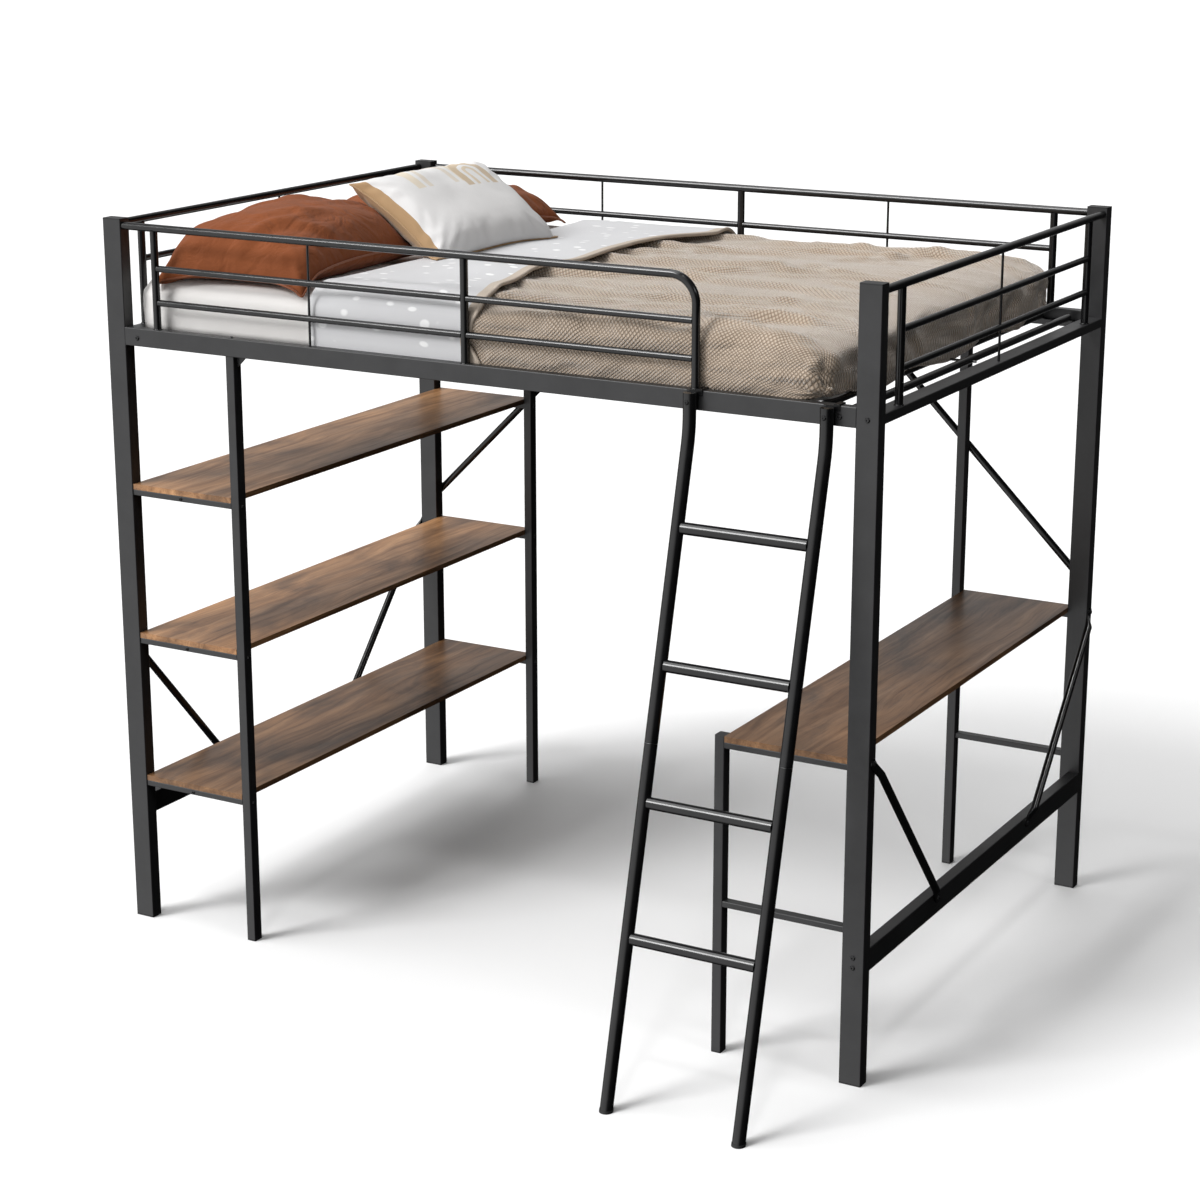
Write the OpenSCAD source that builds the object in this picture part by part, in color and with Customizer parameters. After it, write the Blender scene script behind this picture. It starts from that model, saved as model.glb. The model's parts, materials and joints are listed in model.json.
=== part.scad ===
// Full-size metal loft bed with an end desk, a three-board end shelf, a hook-on
// ladder and bedding. Millimetres. Standing on z = 0, centred over the floor.
// Working coordinates (before place()): x = 0 and y = 0 at the outer faces of the
// front left post, x along the bed, y from front to rear, z up.

/* [Overall size] */
// Length over the corner posts
bed_l = 2077; // [2060:1:2110]
// Width over the corner posts
bed_w = 1421; // [1415:1:1440]
// Height of the corner posts with their caps
bed_h = 1829; // [1820:1:1880]
// Height of the top face of the side rails
rail_top = 1563; // [1540:1:1570]

/* [Corner posts] */
// Post size along the bed
post_x = 54; // [50:1:60]
// Post size across the bed
post_y = 35; // [30:1:40]
// Wall of the posts
post_wall = 1.5; // [1.2:0.1:2]
// Corner radius of the rectangular tubes
edge_r = 2.5; // [1.5:0.5:3]

/* [Rails] */
// Height of the side rails
side_h = 45; // [40:1:50]
// Thickness of the side rails
side_t = 25; // [25:1:28]
// Width of the flat tube at each end of the deck
end_w = 45; // [40:1:50]
// Height of the flat tube at each end of the deck
end_h = 23; // [20:1:25]
// Top of that flat tube below the top of the side rails
end_drop = 14; // [10:1:18]
// Height of the lower end rails
low_h = 55; // [50:1:60]
// Thickness of the lower end rails
low_t = 31; // [25:1:35]
// Underside of the lower end rails above the floor
low_z = 273; // [250:1:300]
// Wall of the rails, legs and bars
rail_wall = 1.2; // [1:0.1:1.5]

/* [Guard rails] */
// Diameter of the top tubes and uprights
guard_d = 19; // [19:1:22]
// Diameter of the horizontal bars
bar_d = 16; // [12:1:16]
// Diameter of the thin rods
rod_d = 6; // [4:1:8]
// Distance of the tube centres from the outer faces
guard_in = 12.5; // [12.5:0.5:13]
// Where the front guard turns down to leave the ladder gap
guard_end_x = 1633; // [1500:1:1633]
// Radius of that bend
guard_bend_r = 63; // [50:1:80]

/* [Slats] */
// Number of slats
slat_n = 26; // [20:1:27]
// Diameter of the slats
slat_d = 19; // [16:1:19]
// Distance between slats
slat_pitch = 74; // [72:1:75]

/* [Shelf and desk] */
// Depth of the boards, from the posts to the inner legs
board_d = 303; // [280:1:340]
// Thickness of the boards
board_t = 14; // [12:1:16]
// Top faces of the three shelf boards
shelf_tops = [395, 778, 1166];
// Top face of the desk board
desk_top_z = 778; // [740:1:790]
// Top face of the desk stretchers
stretch_z = 380; // [300:1:420]
// Leg size along the bed
leg_x = 25; // [20:1:30]
// Leg size across the bed
leg_y = 30; // [25:1:30]
// Height of the bars that carry the boards
sup_h = 15; // [12:1:18]

/* [Braces] */
// Diameter of the diagonal braces
brace_d = 19; // [16:1:20]
// Height where the end braces meet the posts
brace_top = 770; // [700:1:780]
// Distance of their lower ends from the post's outer face
brace_run = 418; // [380:1:450]

/* [Ladder] */
// Diameter of the ladder rails
lad_d = 30; // [28:1:32]
// Diameter of the rungs
rung_d = 28; // [25:1:28]
// Centre of the left ladder rail along the bed
lad_x1 = 1635; // [1600:1:1640]
// Centre of the right ladder rail along the bed
lad_x2 = 1964; // [1940:1:1964]
// Slope of the ladder from upright, in degrees
lad_a = 14; // [12:1:15]
// Height of the lowest rung
rung_z = 380; // [330:1:390]
// Distance between rungs
rung_pitch = 296; // [280:1:300]
// Height of the joint between the two pieces of each rail
lad_joint_z = 804; // [780:1:850]

/* [Bedding] */
// Mattress length
matt_l = 1872; // [1850:1:1905]
// Mattress thickness
matt_t = 124; // [110:1:150]
// Comforter thickness
comf_t = 16; // [12:1:20]

/* [Hidden] */

e = 0.01;
rail_bot = rail_top - side_h;
end_top = rail_top - end_drop;
end_bot = end_top - end_h;
cap_t = 3;
foot_t = 4;
gr = guard_d/2;
br = bar_d/2;
rr = rod_d/2;
g_top = bed_h - 17.5;
g_mid = bed_h - 116;
g_low = bed_h - 200;
xr = bed_l;
yr = bed_w;
leg_in = 3;
sx1 = post_x;
sx2 = post_x + board_d;
dx1 = xr - post_x - board_d;
dx2 = xr - post_x;
sup_t = 25;
lr = lad_d/2;
hook_t = 3;
hook_gap = 0.3;
lad_y = -(hook_gap + hook_t + lr);
lad_R = 300;
lad_c = 1511.8;
lad_top = rail_top - 3;
lad_z1 = lad_c - lad_R*sin(lad_a);
lad_y1 = lad_y - lad_R + lad_R*cos(lad_a);
lad_slope = tan(lad_a);
lad_out = lad_z1*lad_slope - lad_y1;
rungs = [for (i = [0:3]) rung_z + i*rung_pitch];
function lad_yc(z) = -lad_out + lad_slope*z;
y_lo = -lad_out - (lr + 1)/cos(lad_a);
y_hi = bed_w + brace_d;
slat_z = 1545.5;
slat_x1 = 1991;
tie_y = bed_w/2;
deck_z = slat_z + slat_d/2;
mx0 = 57;
my0 = 44;
my1 = bed_w - 44;
mz0 = deck_z + 0.4;
mz1 = mz0 + matt_t;
up_front = [147, 1037];
up_rear = [148, bed_l/2, bed_l - 148];
rods_rear = [607, bed_l - 607];
up_end = [131, bed_w - 131];
shelf_sup = [for (t = shelf_tops) t - board_t - sup_h];
desk_sup = desk_top_z - board_t - sup_h;
mid_x = (sx1 + sx2)/2 - 3;
dmid_x = (dx1 + dx2)/2 + 3;

// bolt places: [x, z] on the front (y = 0) and rear faces
post_bolts_r = [[bed_l - 27, 287], [bed_l - 27, 311], [bed_l - 27, 1538]];
rail_bolts = [[91.5, 1539], [bed_l - 91.5, 1539]];
bar_mid_bolts = [for (z = shelf_sup) [mid_x, z + sup_h/2]];
desk_mid_bolts = [[dmid_x, desk_sup + sup_h/2]];

module place() translate([-bed_l/2, -(y_lo + y_hi)/2, 0]) children();

// rounded rectangle outline
module rrect(w, d, r) {
  translate([r, 0]) square([w - 2*r, d]);
  translate([0, r]) square([w, d - 2*r]);
  for (x = [r, w - r], y = [r, d - r]) translate([x, y]) circle(r, $fn = 24);
}
// hollow rectangular tube standing along z
module rtube(w, d, h, t, r) {
  linear_extrude(h) difference() {
    rrect(w, d, r);
    translate([t, t]) square([w - 2*t, d - 2*t]);
  }
}
// along x: y and z sizes
module rtube_x(x0, x1, y, z, ys, zs, t = rail_wall) {
  translate([x0, y, z]) rotate([90, 0, 90]) rtube(ys, zs, x1 - x0, t, edge_r);
}
// along y: x and z sizes
module rtube_y(y0, y1, x, z, xs, zs, t = rail_wall) {
  translate([x, y1, z]) rotate([90, 0, 0]) rtube(xs, zs, y1 - y0, t, edge_r);
}
// hollow round tubes
module tube(h, r, t = 1.2) difference() {
  cylinder(h = h, r = r, $fn = 40);
  translate([0, 0, -1]) cylinder(h = h + 2, r = r - t, $fn = 40);
}
module tube_x(x0, x1, y, z, r) translate([x0, y, z]) rotate([0, 90, 0]) tube(x1 - x0, r);
module tube_y(y0, y1, x, z, r) translate([x, y0, z]) rotate([-90, 0, 0]) tube(y1 - y0, r);
module tube_z(z0, z1, x, y, r) translate([x, y, z0]) tube(z1 - z0, r);
module solid_z(z0, z1, x, y, r) translate([x, y, z0]) cylinder(h = z1 - z0, r = r, $fn = 32);

// button-head socket bolt, head outwards along -y, shank along +y
module bolt(l = 9, hr = 6.5) rotate([-90, 0, 0]) {
  difference() {
    translate([0, 0, -3.4]) cylinder(h = 3.4, r1 = hr - 2, r2 = hr, $fn = 28);
    translate([0, 0, -3.5]) cylinder(h = 2.2, r = 2.5, $fn = 6);
  }
  cylinder(h = l, r = 2.9, $fn = 20);
}
module hole(l = 12) rotate([-90, 0, 0]) translate([0, 0, -1]) cylinder(h = l, r = 3.1, $fn = 20);
// bolts on the front face and, mirrored, on the rear face
module front(pts, y = 0) for (p = pts) translate([p[0], y, p[1]]) children();
module rear(pts, y = 0) for (p = pts) translate([p[0], yr - y, p[1]]) rotate([0, 0, 180]) children();
module left_face(pts, x = 0) for (p = pts) translate([x, p[0], p[1]]) rotate([0, 0, -90]) children();
module right_face(pts, x = 0) for (p = pts) translate([x, p[0], p[1]]) rotate([0, 0, 90]) children();

// ---------- corner posts ----------
brace_pts_end = [[post_y/2, brace_top], [bed_w - post_y/2, brace_top]];
brace_low_end = [[brace_run, low_z + 40], [bed_w - brace_run, low_z + 40]];
brace_rear_post = [[30, 843], [bed_l - 30, 843]];
brace_rear_rail = [[735, 1538], [bed_l - 735, 1538]];

module post(x, y) {
  difference() {
    translate([x, y, foot_t]) rtube(post_x, post_y, bed_h - cap_t - foot_t, post_wall, edge_r);
    front(post_bolts_r) hole(8);
    rear(post_bolts_r) hole(8);
    left_face(brace_pts_end) hole(8);
    translate([xr, 0, 0]) right_face(brace_pts_end) hole(8);
    rear(brace_rear_post) hole(8);
  }
}
module post_front_left() color("#26272a") place() post(0, 0);
module post_front_right() color("#26272a") place() post(xr - post_x, 0);
module post_rear_left() color("#26272a") place() post(0, yr - post_y);
module post_rear_right() color("#26272a") place() post(xr - post_x, yr - post_y);

module plug(w, d, z, t, lip) {
  translate([0, 0, z]) linear_extrude(t) rrect(w, d, edge_r);
  translate([post_wall + 0.2, post_wall + 0.2, lip > 0 ? z + t : z + lip])
    cube([w - 2*post_wall - 0.4, d - 2*post_wall - 0.4, abs(lip)]);
}
module post_top_caps() color("#1c1c1e") place()
  for (x = [0, xr - post_x], y = [0, yr - post_y]) translate([x, y, 0]) plug(post_x, post_y, bed_h - cap_t, cap_t, -10);
module foot_caps() color("#1c1c1e") place() {
  for (x = [0, xr - post_x], y = [0, yr - post_y]) translate([x, y, 0]) plug(post_x, post_y, 0, foot_t, 12);
  for (x = [sx2, dx1 - leg_x], y = [leg_in, yr - leg_in - leg_y]) translate([x, y, 0]) plug(leg_x, leg_y, 0, foot_t, 12);
}

// ---------- deck frame ----------
module side_rail(y, s) difference() {
  rtube_x(post_x, xr - post_x, y, rail_bot, side_t, side_h, 1.5);
  if (s > 0) front(rail_bolts) hole(8); else rear(rail_bolts) hole(8);
  if (s < 0) rear(brace_rear_rail) hole(8);
}
module side_rail_front() color("#26272a") place() side_rail(0, 1);
module side_rail_rear() color("#26272a") place() side_rail(yr - side_t, -1);
// angle under the ends of the slats
module slat_ledges() color("#222326") place() for (m = [0, 1]) translate([0, m*yr, 0]) mirror([0, m, 0])
  translate([post_x + 2, side_t, rail_bot + 3]) {
    cube([bed_l - 2*post_x - 4, 2, 14]);
    translate([0, 2, 12]) cube([bed_l - 2*post_x - 4, 16, 2]);
  }
module end_rail(x) rtube_y(post_y, yr - post_y, x, end_bot, end_w, end_h);
module end_rail_left() color("#202124") place() end_rail(0);
module end_rail_right() color("#202124") place() end_rail(xr - end_w);
module lower_rail(x, s) difference() {
  rtube_y(post_y, yr - post_y, x, low_z, low_t, low_h, 1.5);
  if (s > 0) left_face(brace_low_end) hole(8); else translate([xr, 0, 0]) right_face(brace_low_end) hole(8);
}
module lower_rail_left() color("#26272a") place() lower_rail(0, 1);
module lower_rail_right() color("#26272a") place() lower_rail(xr - low_t, -1);

// ---------- guards ----------
module front_guard_top_tube() color("#1a1a1c") place() {
  tube_x(post_x, guard_end_x - guard_bend_r, guard_in, g_top, gr);
  translate([guard_end_x - guard_bend_r, guard_in, g_top - guard_bend_r]) rotate([90, 0, 0])
    rotate_extrude(angle = 90, $fn = 64) translate([guard_bend_r, 0]) difference() {
      circle(gr, $fn = 40);
      circle(gr - 1.2, $fn = 40);
    }
  tube_z(rail_top, g_top - guard_bend_r, guard_end_x, guard_in, gr);
}
module upright(x, y, z0) difference() {
  tube_z(z0, g_top - gr + 3, x, y, gr);
  translate([x - 20, y, g_top]) rotate([0, 90, 0]) cylinder(h = 40, r = gr, $fn = 40);
}
module upright_e(x, y, z0) difference() {
  tube_z(z0, g_top - gr + 3, x, y, gr);
  translate([x, y - 20, g_top]) rotate([-90, 0, 0]) cylinder(h = 40, r = gr, $fn = 40);
}
module front_guard_uprights() color("#1a1a1c") place() for (x = up_front) upright(x, guard_in, rail_top);
module rear_guard_uprights() color("#1a1a1c") place() for (x = up_rear) upright(x, yr - guard_in, rail_top);
module end_guard_uprights() color("#1a1a1c") place() for (x = [guard_in, xr - guard_in], y = up_end) upright_e(x, y, end_top);
// bars stop at the uprights, whose round sides are cut out of their ends
module bars_x(xs, y) for (i = [0:len(xs) - 2], z = [g_mid, g_low]) difference() {
  tube_x(xs[i] + gr - 2, xs[i + 1] - gr + 2, y, z, br);
  for (x = [xs[i], xs[i + 1]]) translate([x, y, z - 20]) cylinder(h = 40, r = gr, $fn = 40);
}
module front_guard_bars() color("#1a1a1c") place() bars_x([up_front[0], up_front[1], guard_end_x], guard_in);
module rear_guard_bars() color("#1a1a1c") place() bars_x(up_rear, yr - guard_in);
module end_guard_bars() color("#1a1a1c") place() for (x = [guard_in, xr - guard_in], z = [g_mid, g_low]) difference() {
  tube_y(up_end[0] + gr - 2, up_end[1] - gr + 2, x, z, br);
  for (y = up_end) translate([x, y, z - 20]) cylinder(h = 40, r = gr, $fn = 40);
}
module rear_guard_top_tube() color("#1a1a1c") place() tube_x(post_x, xr - post_x, yr - guard_in, g_top, gr);
module end_guard_top_tubes() color("#1a1a1c") place() for (x = [guard_in, xr - guard_in]) tube_y(post_y, yr - post_y, x, g_top, gr);
// each thin rod is in three lengths between the bars
module rod3(x, y, z0, along_x) {
  cuts = [[z0, g_low - br + 0.3], [g_low + br - 0.3, g_mid - br + 0.3], [g_mid + br - 0.3, g_top - gr + 0.3]];
  for (c = cuts) difference() {
    solid_z(c[0], c[1], x, y, rr);
    for (p = [[g_low, br], [g_mid, br], [g_top, gr]])
      translate([x, y, p[0]]) rotate(along_x ? [0, 90, 0] : [90, 0, 0]) cylinder(h = 40, r = p[1], center = true, $fn = 40);
  }
}
module guard_rods() color("#161618") place() {
  rod3(603, guard_in, rail_top, true);
  for (x = rods_rear) rod3(x, yr - guard_in, rail_top, true);
  for (x = [guard_in, xr - guard_in]) rod3(x, yr/2, end_top, false);
}

// ---------- slats ----------
sl_y0 = side_t + 3;
sl_z = rail_bot + 17;
module slats() color("#202124") place() for (i = [0:slat_n - 1]) translate([slat_x1 - i*slat_pitch, 0, 0]) {
  difference() {
    tube_y(sl_y0 + 20, yr - sl_y0 - 20, 0, slat_z, slat_d/2);
    for (s = [0, 1]) translate([0, s*yr, 0]) mirror([0, s, 0]) translate([-12, sl_y0 + 18, sl_z - 12]) cube([24, 16, 12]);
    translate([-20, tie_y, slat_z - 3]) rotate([0, 90, 0]) cylinder(h = 40, r = 3.1, $fn = 24);
  }
  for (s = [0, 1]) translate([0, s*yr, 0]) mirror([0, s, 0]) {
    translate([-11, sl_y0, sl_z]) cube([22, 20, 2.4]);
    translate([0, sl_y0 + 20, slat_z]) rotate([-90, 0, 0]) intersection() {
      cylinder(h = 1.2, r = slat_d/2, $fn = 40);
      translate([-12, -12, 0]) cube([24, 24 - 2, 2]);
    }
  }
}
module slat_tie_rod() color("#202124") place() translate([slat_x1 - (slat_n - 1)*slat_pitch - 18, tie_y, slat_z - 3]) rotate([0, 90, 0])
  cylinder(h = (slat_n - 1)*slat_pitch + 36, r = 3, $fn = 24);

// ---------- shelf and desk ----------
leg_face = [for (z = shelf_sup) [leg_in + leg_y/2, z + sup_h/2]];
module leg(x, y, h) translate([x, y, foot_t]) rtube(leg_x, leg_y, h - foot_t, rail_wall, edge_r);
module leg_holes(x, zs) for (z = zs, y = [leg_in + leg_y/2, yr - leg_in - leg_y/2]) translate([x, y, z]) children();
s_holes = [for (z = shelf_sup) z + sup_h/2];
d_holes = [desk_sup + sup_h/2, stretch_z - sup_h/2];
module shelf_leg(y) difference() {
  leg(sx2, y, rail_bot);
  leg_holes(sx2 + leg_x, s_holes) rotate([0, 0, 90]) hole(8);
}
module shelf_leg_front() color("#26272a") place() shelf_leg(leg_in);
module shelf_leg_rear() color("#26272a") place() shelf_leg(yr - leg_in - leg_y);
module desk_leg(y, h) difference() {
  leg(dx1 - leg_x, y, h);
  leg_holes(dx1 - leg_x, d_holes) rotate([0, 0, -90]) hole(8);
}
// the short leg is closed by a top plate level with the board
module desk_leg_front() color("#26272a") place() {
  desk_leg(leg_in, desk_top_z - 2);
  translate([dx1 - leg_x, leg_in, desk_top_z - 2]) linear_extrude(2) rrect(leg_x, leg_y, edge_r);
}
module desk_leg_rear() color("#26272a") place() desk_leg(yr - leg_in - leg_y, rail_bot);
// gusset behind each tall leg's top
module gusset(x, s) translate([x, 0, rail_bot]) mirror([s < 0 ? 1 : 0, 0, 0]) rotate([90, 0, 0]) linear_extrude(2.5)
  polygon([[0, 0], [26, 0], [26, -3], [3, -26], [0, -26]]);
module leg_brackets() color("#1c1c1e") place() {
  translate([0, leg_in + 16, 0]) gusset(sx2 + leg_x, 1);
  translate([0, yr - leg_in - 14, 0]) gusset(sx2 + leg_x, 1);
  translate([0, yr - leg_in - 14, 0]) gusset(dx1 - leg_x, -1);
}
module board(x0, x1, zt) difference() {
  translate([x0, leg_in, zt - board_t]) cube([x1 - x0, yr - 2*leg_in, board_t]);
}
module shelf_board_lower() color("#6e4b2d") place() board(sx1, sx2, shelf_tops[0]);
module shelf_board_middle() color("#6e4b2d") place() board(sx1, sx2, shelf_tops[1]);
module shelf_board_upper() color("#6e4b2d") place() board(sx1, sx2, shelf_tops[2]);
module desk_board() color("#6e4b2d") place() board(dx1, dx2, desk_top_z);
module cross_bars(x0, x1, zs) for (z = zs, y = [leg_in, yr - leg_in - sup_t]) rtube_x(x0, x1, y, z, sup_t, sup_h);
module shelf_support_bars() color("#232427") place() difference() {
  cross_bars(sx1, sx2, shelf_sup);
  front(bar_mid_bolts, leg_in) hole(5);
  rear(bar_mid_bolts, leg_in) hole(5);
}
module desk_support_bars() color("#232427") place() difference() {
  cross_bars(dx1, dx2, [desk_sup]);
  front(desk_mid_bolts, leg_in) hole(5);
  rear(desk_mid_bolts, leg_in) hole(5);
}
module desk_stretchers() color("#232427") place() cross_bars(dx1, dx2, [stretch_z - sup_h]);
module stiffener(x, z) rtube_y(leg_in + sup_t, yr - leg_in - sup_t, x - 12.5, z, 25, sup_h);
module shelf_stiffeners() color("#232427") place() for (z = shelf_sup) stiffener(mid_x, z);
module desk_stiffener() color("#232427") place() stiffener(dmid_x, desk_sup);

// ---------- braces ----------
// round tube along +x, lying on the plane z = 0 at z > 0, ends pressed flat on it
module brace(l) {
  b = brace_d/2;
  f = 42;
  translate([f, 0, b]) rotate([0, 90, 0]) tube(l - 2*f, b);
  for (s = [0, 1]) translate([s*l, 0, 0]) mirror([s, 0, 0]) {
    difference() {
      union() {
        cylinder(h = 3, r = 11, $fn = 40);
        translate([0, -11, 0]) cube([14, 22, 3]);
      }
      translate([0, 0, -1]) cylinder(h = 5, r = 3.1, $fn = 20);
    }
    hull() {
      translate([14 - e, -11, 0]) cube([1, 22, 3]);
      translate([f, 0, b]) rotate([0, 90, 0]) cylinder(h = 1, r = b, $fn = 32);
    }
  }
}
end_a = atan2(low_z + 40 - brace_top, brace_run - post_y/2);
end_l = norm([brace_run - post_y/2, brace_top - low_z - 40]);
// left end: plane x = 0, tube stands out along -x
module end_braces(x, s) translate([x, 0, 0]) mirror([s > 0 ? 1 : 0, 0, 0])
  for (m = [0, 1]) translate([0, m*yr, 0]) mirror([0, m, 0])
    translate([0, post_y/2, brace_top]) rotate([end_a, 0, 0]) rotate([0, 0, 90]) rotate([-90, 0, 0]) brace(end_l);
module end_braces_left() color("#1c1c1e") place() end_braces(0, -1);
module end_braces_right() color("#1c1c1e") place() end_braces(xr, 1);
rb_dx = brace_rear_rail[0][0] - brace_rear_post[0][0];
rb_dz = brace_rear_rail[0][1] - brace_rear_post[0][1];
module rear_braces() color("#1c1c1e") place() for (m = [0, 1]) translate([m*xr, yr, 0]) mirror([m, 0, 0])
  translate([brace_rear_post[0][0], 0, brace_rear_post[0][1]]) rotate([0, -atan2(rb_dz, rb_dx), 0]) rotate([-90, 0, 0]) brace(norm([rb_dx, rb_dz]));

// ---------- fasteners ----------
module frame_bolts() color("#101011") place() {
  front(post_bolts_r) bolt();
  rear(post_bolts_r) bolt();
  front(rail_bolts) bolt();
  rear(rail_bolts) bolt();
}
module brace_bolts() color("#101011") place() {
  translate([-3, 0, 0]) left_face(concat(brace_pts_end, brace_low_end)) bolt(10);
  translate([xr + 3, 0, 0]) right_face(concat(brace_pts_end, brace_low_end)) bolt(10);
  rear(concat(brace_rear_post, brace_rear_rail), -3) bolt(10);
}
module leg_bolts() color("#101011") place() {
  leg_holes(sx2 + leg_x, s_holes) rotate([0, 0, 90]) bolt(8, 5.5);
  leg_holes(dx1 - leg_x, d_holes) rotate([0, 0, -90]) bolt(8, 5.5);
  front(concat(bar_mid_bolts, desk_mid_bolts), leg_in) bolt(6, 5);
  rear(concat(bar_mid_bolts, desk_mid_bolts), leg_in) bolt(6, 5);
  for (x = [370, bed_l - 370]) translate([x, yr - 12.5, rail_top]) rotate([-90, 0, 0]) bolt_top();
  translate([370, 12.5, rail_top]) rotate([-90, 0, 0]) bolt_top();
}
module bolt_top() rotate([90, 0, 0]) difference() {
  cylinder(h = 2.6, r1 = 6, r2 = 4.5, $fn = 28);
  translate([0, 0, 1.2]) cylinder(h = 2, r = 2.2, $fn = 6);
}
// screw heads under the support bars, driven up into the boards
module board_screws() color("#101011") place() {
  for (z = shelf_sup, x = [sx1 + 60, sx2 - 60], y = [leg_in + sup_t/2, yr - leg_in - sup_t/2])
    translate([x, y, z - 2]) cylinder(h = 2, r1 = 2.4, r2 = 4, $fn = 24);
  for (x = [dx1 + 60, dx2 - 60], y = [leg_in + sup_t/2, yr - leg_in - sup_t/2])
    translate([x, y, desk_sup - 2]) cylinder(h = 2, r1 = 2.4, r2 = 4, $fn = 24);
}

// ---------- ladder ----------
// sloping direction of the rails, from the foot up
module slope(x) translate([x, -lad_out, 0]) rotate([-lad_a, 0, 0]) children();
// upper piece of a rail at radius r: bend, then the slope down to the joint
module lad_path(x, r, lo) translate([x, lad_y - lad_R, lad_c]) rotate([90, 0, 90]) rotate([0, 0, -lad_a]) {
  rotate_extrude(angle = lad_a, $fn = 256) translate([lad_R, 0]) circle(r, $fn = 40);
  translate([lad_R, 0, 0]) rotate([90, 0, 0]) cylinder(h = (lad_z1 - lad_joint_z)/cos(lad_a) + lo, r = r, $fn = 40);
}
module lad_upper(x) difference() {
  lad_path(x, lr, 0);
  lad_path(x, lr - 1.5, 1);
}
module lad_lower(x) difference() {
  slope(x) translate([0, 0, -10]) tube(lad_joint_z/cos(lad_a) + 10 - 0.8, lr, 1.5);
  translate([x - 40, -lad_out - 60, -30]) cube([80, 120, 30 + 6]);
}
module ladder_rail_left_upper() color("#1a1a1c") place() lad_upper(lad_x1);
module ladder_rail_right_upper() color("#1a1a1c") place() lad_upper(lad_x2);
module ladder_rail_left_lower() color("#1a1a1c") place() lad_lower(lad_x1);
module ladder_rail_right_lower() color("#1a1a1c") place() lad_lower(lad_x2);
module ladder_rungs() color("#1a1a1c") place() for (z = rungs) difference() {
  tube_x(lad_x1 + lr - 3, lad_x2 - lr + 3, lad_yc(z), z, rung_d/2);
  for (x = [lad_x1, lad_x2]) slope(x) translate([0, 0, z/cos(lad_a) - 40]) cylinder(h = 80, r = lr, $fn = 40);
}
module ladder_joint_sleeves() color("#2c2d30") place() for (x = [lad_x1, lad_x2])
  slope(x) translate([0, 0, lad_joint_z/cos(lad_a) - 50]) tube(100, lr - 1.6, 1.4);
// top of each rail: an upright socket welded to a plate with a tab over the side rail
module ladder_hooks() color("#121213") place() for (x = [lad_x1, lad_x2]) translate([x, 0, 0]) {
  y1 = -hook_gap;
  y0 = y1 - hook_t;
  difference() {
    union() {
      translate([0, lad_y, lad_c]) cylinder(h = lad_top - lad_c, r = lr, $fn = 40);
      translate([-15, y0 - 0.5, rail_bot + 2]) cube([28, hook_t + 0.5, side_h - 2]);
      translate([8.5, y0 - 0.5, rail_top - 12]) cube([14, hook_t + 0.5, 12 + hook_gap + hook_t]);
      translate([8.5, y0 - 0.5, rail_top + hook_gap]) cube([14, side_t + hook_gap*2 + 2*hook_t + 0.5, hook_t]);
      translate([8.5, side_t + hook_gap, rail_top - 12]) cube([14, hook_t, 12 + hook_gap + hook_t]);
    }
    translate([0, lad_y, lad_c - 1]) cylinder(h = lad_top - lad_c - 0.5, r = lr - 1.5, $fn = 40);
    translate([0, lad_y - lr - 1, 1540]) rotate([-90, 0, 0]) cylinder(h = 8, r = 3.1, $fn = 20);
    translate([0, lad_y - lr - 4, 1540]) rotate([-90, 0, 0]) cylinder(h = 4.9, r = 6, $fn = 28);
  }
}
module ladder_feet() color("#0e0e0f") place() for (x = [lad_x1, lad_x2]) {
  intersection() {
    slope(x) translate([0, 0, -10]) cylinder(h = 40, r = lr + 1, $fn = 40);
    translate([x - 40, -lad_out - 60, 0]) cube([80, 120, 6]);
  }
  intersection() {
    slope(x) cylinder(h = 40, r = lr - 1.6, $fn = 40);
    translate([x - 40, -lad_out - 60, 5]) cube([80, 120, 20]);
  }
}
module ladder_bolts() color("#101011") place() for (x = [lad_x1, lad_x2])
  translate([x, lad_y - lr + 0.8, 1540]) bolt(7, 5.5);

// ---------- bedding ----------
module rbox(p, s, r) translate(p) linear_extrude(s[2]) rrect(s[0], s[1], r);
module mattress() color("#e9e6e2") place() rbox([mx0, my0, mz0], [matt_l, my1 - my0, matt_t], 30);
// quilt over the mattress: top, both sides and the foot end
cq_x0 = 600;
cq_x1 = mx0 + matt_l + comf_t + 0.4;
cq_z0 = rail_top + 8;
module comforter() color("#b5a696") place() difference() {
  translate([cq_x0, my0 - 13, cq_z0]) cube([cq_x1 - cq_x0, my1 - my0 + 26, mz1 + comf_t - cq_z0]);
  translate([cq_x0 - 1, my0 - 0.4, cq_z0 - 1]) cube([mx0 + matt_l + 0.4 - cq_x0 + 1, my1 - my0 + 0.8, mz1 + 0.4 - cq_z0 + 1]);
}
// pillow blank: a crowned pad, w by l by t
module pad(w, l, t) hull() {
  for (x = [-1, 1], y = [-1, 1]) translate([x*(w/2 - 12), y*(l/2 - 12), 0]) sphere(12, $fn = 16);
  for (x = [-1, 1], y = [-1, 1]) translate([x*w*0.24, y*l*0.3, 0]) cylinder(h = t*0.72, r = 40, center = true, $fn = 24);
  for (x = [-1, 1], y = [-1, 1]) translate([x*w*0.1, y*l*0.18, 0]) cylinder(h = t, r = 40, center = true, $fn = 24);
}
module pillow_rust_front() color("#8f4a26") place() translate([330, 345, mz1 + 78]) rotate([0, 8, 3]) pad(400, 590, 130);
module pillow_rust_rear() color("#8f4a26") place() translate([292, 1050, mz1 + 76]) rotate([0, 6, -3]) pad(410, 590, 126);
module pillow_patterned() color("#dcd9d6") place() translate([558, 750, mz1 + 124]) rotate([0, 33, -5]) pad(330, 495, 86);

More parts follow.
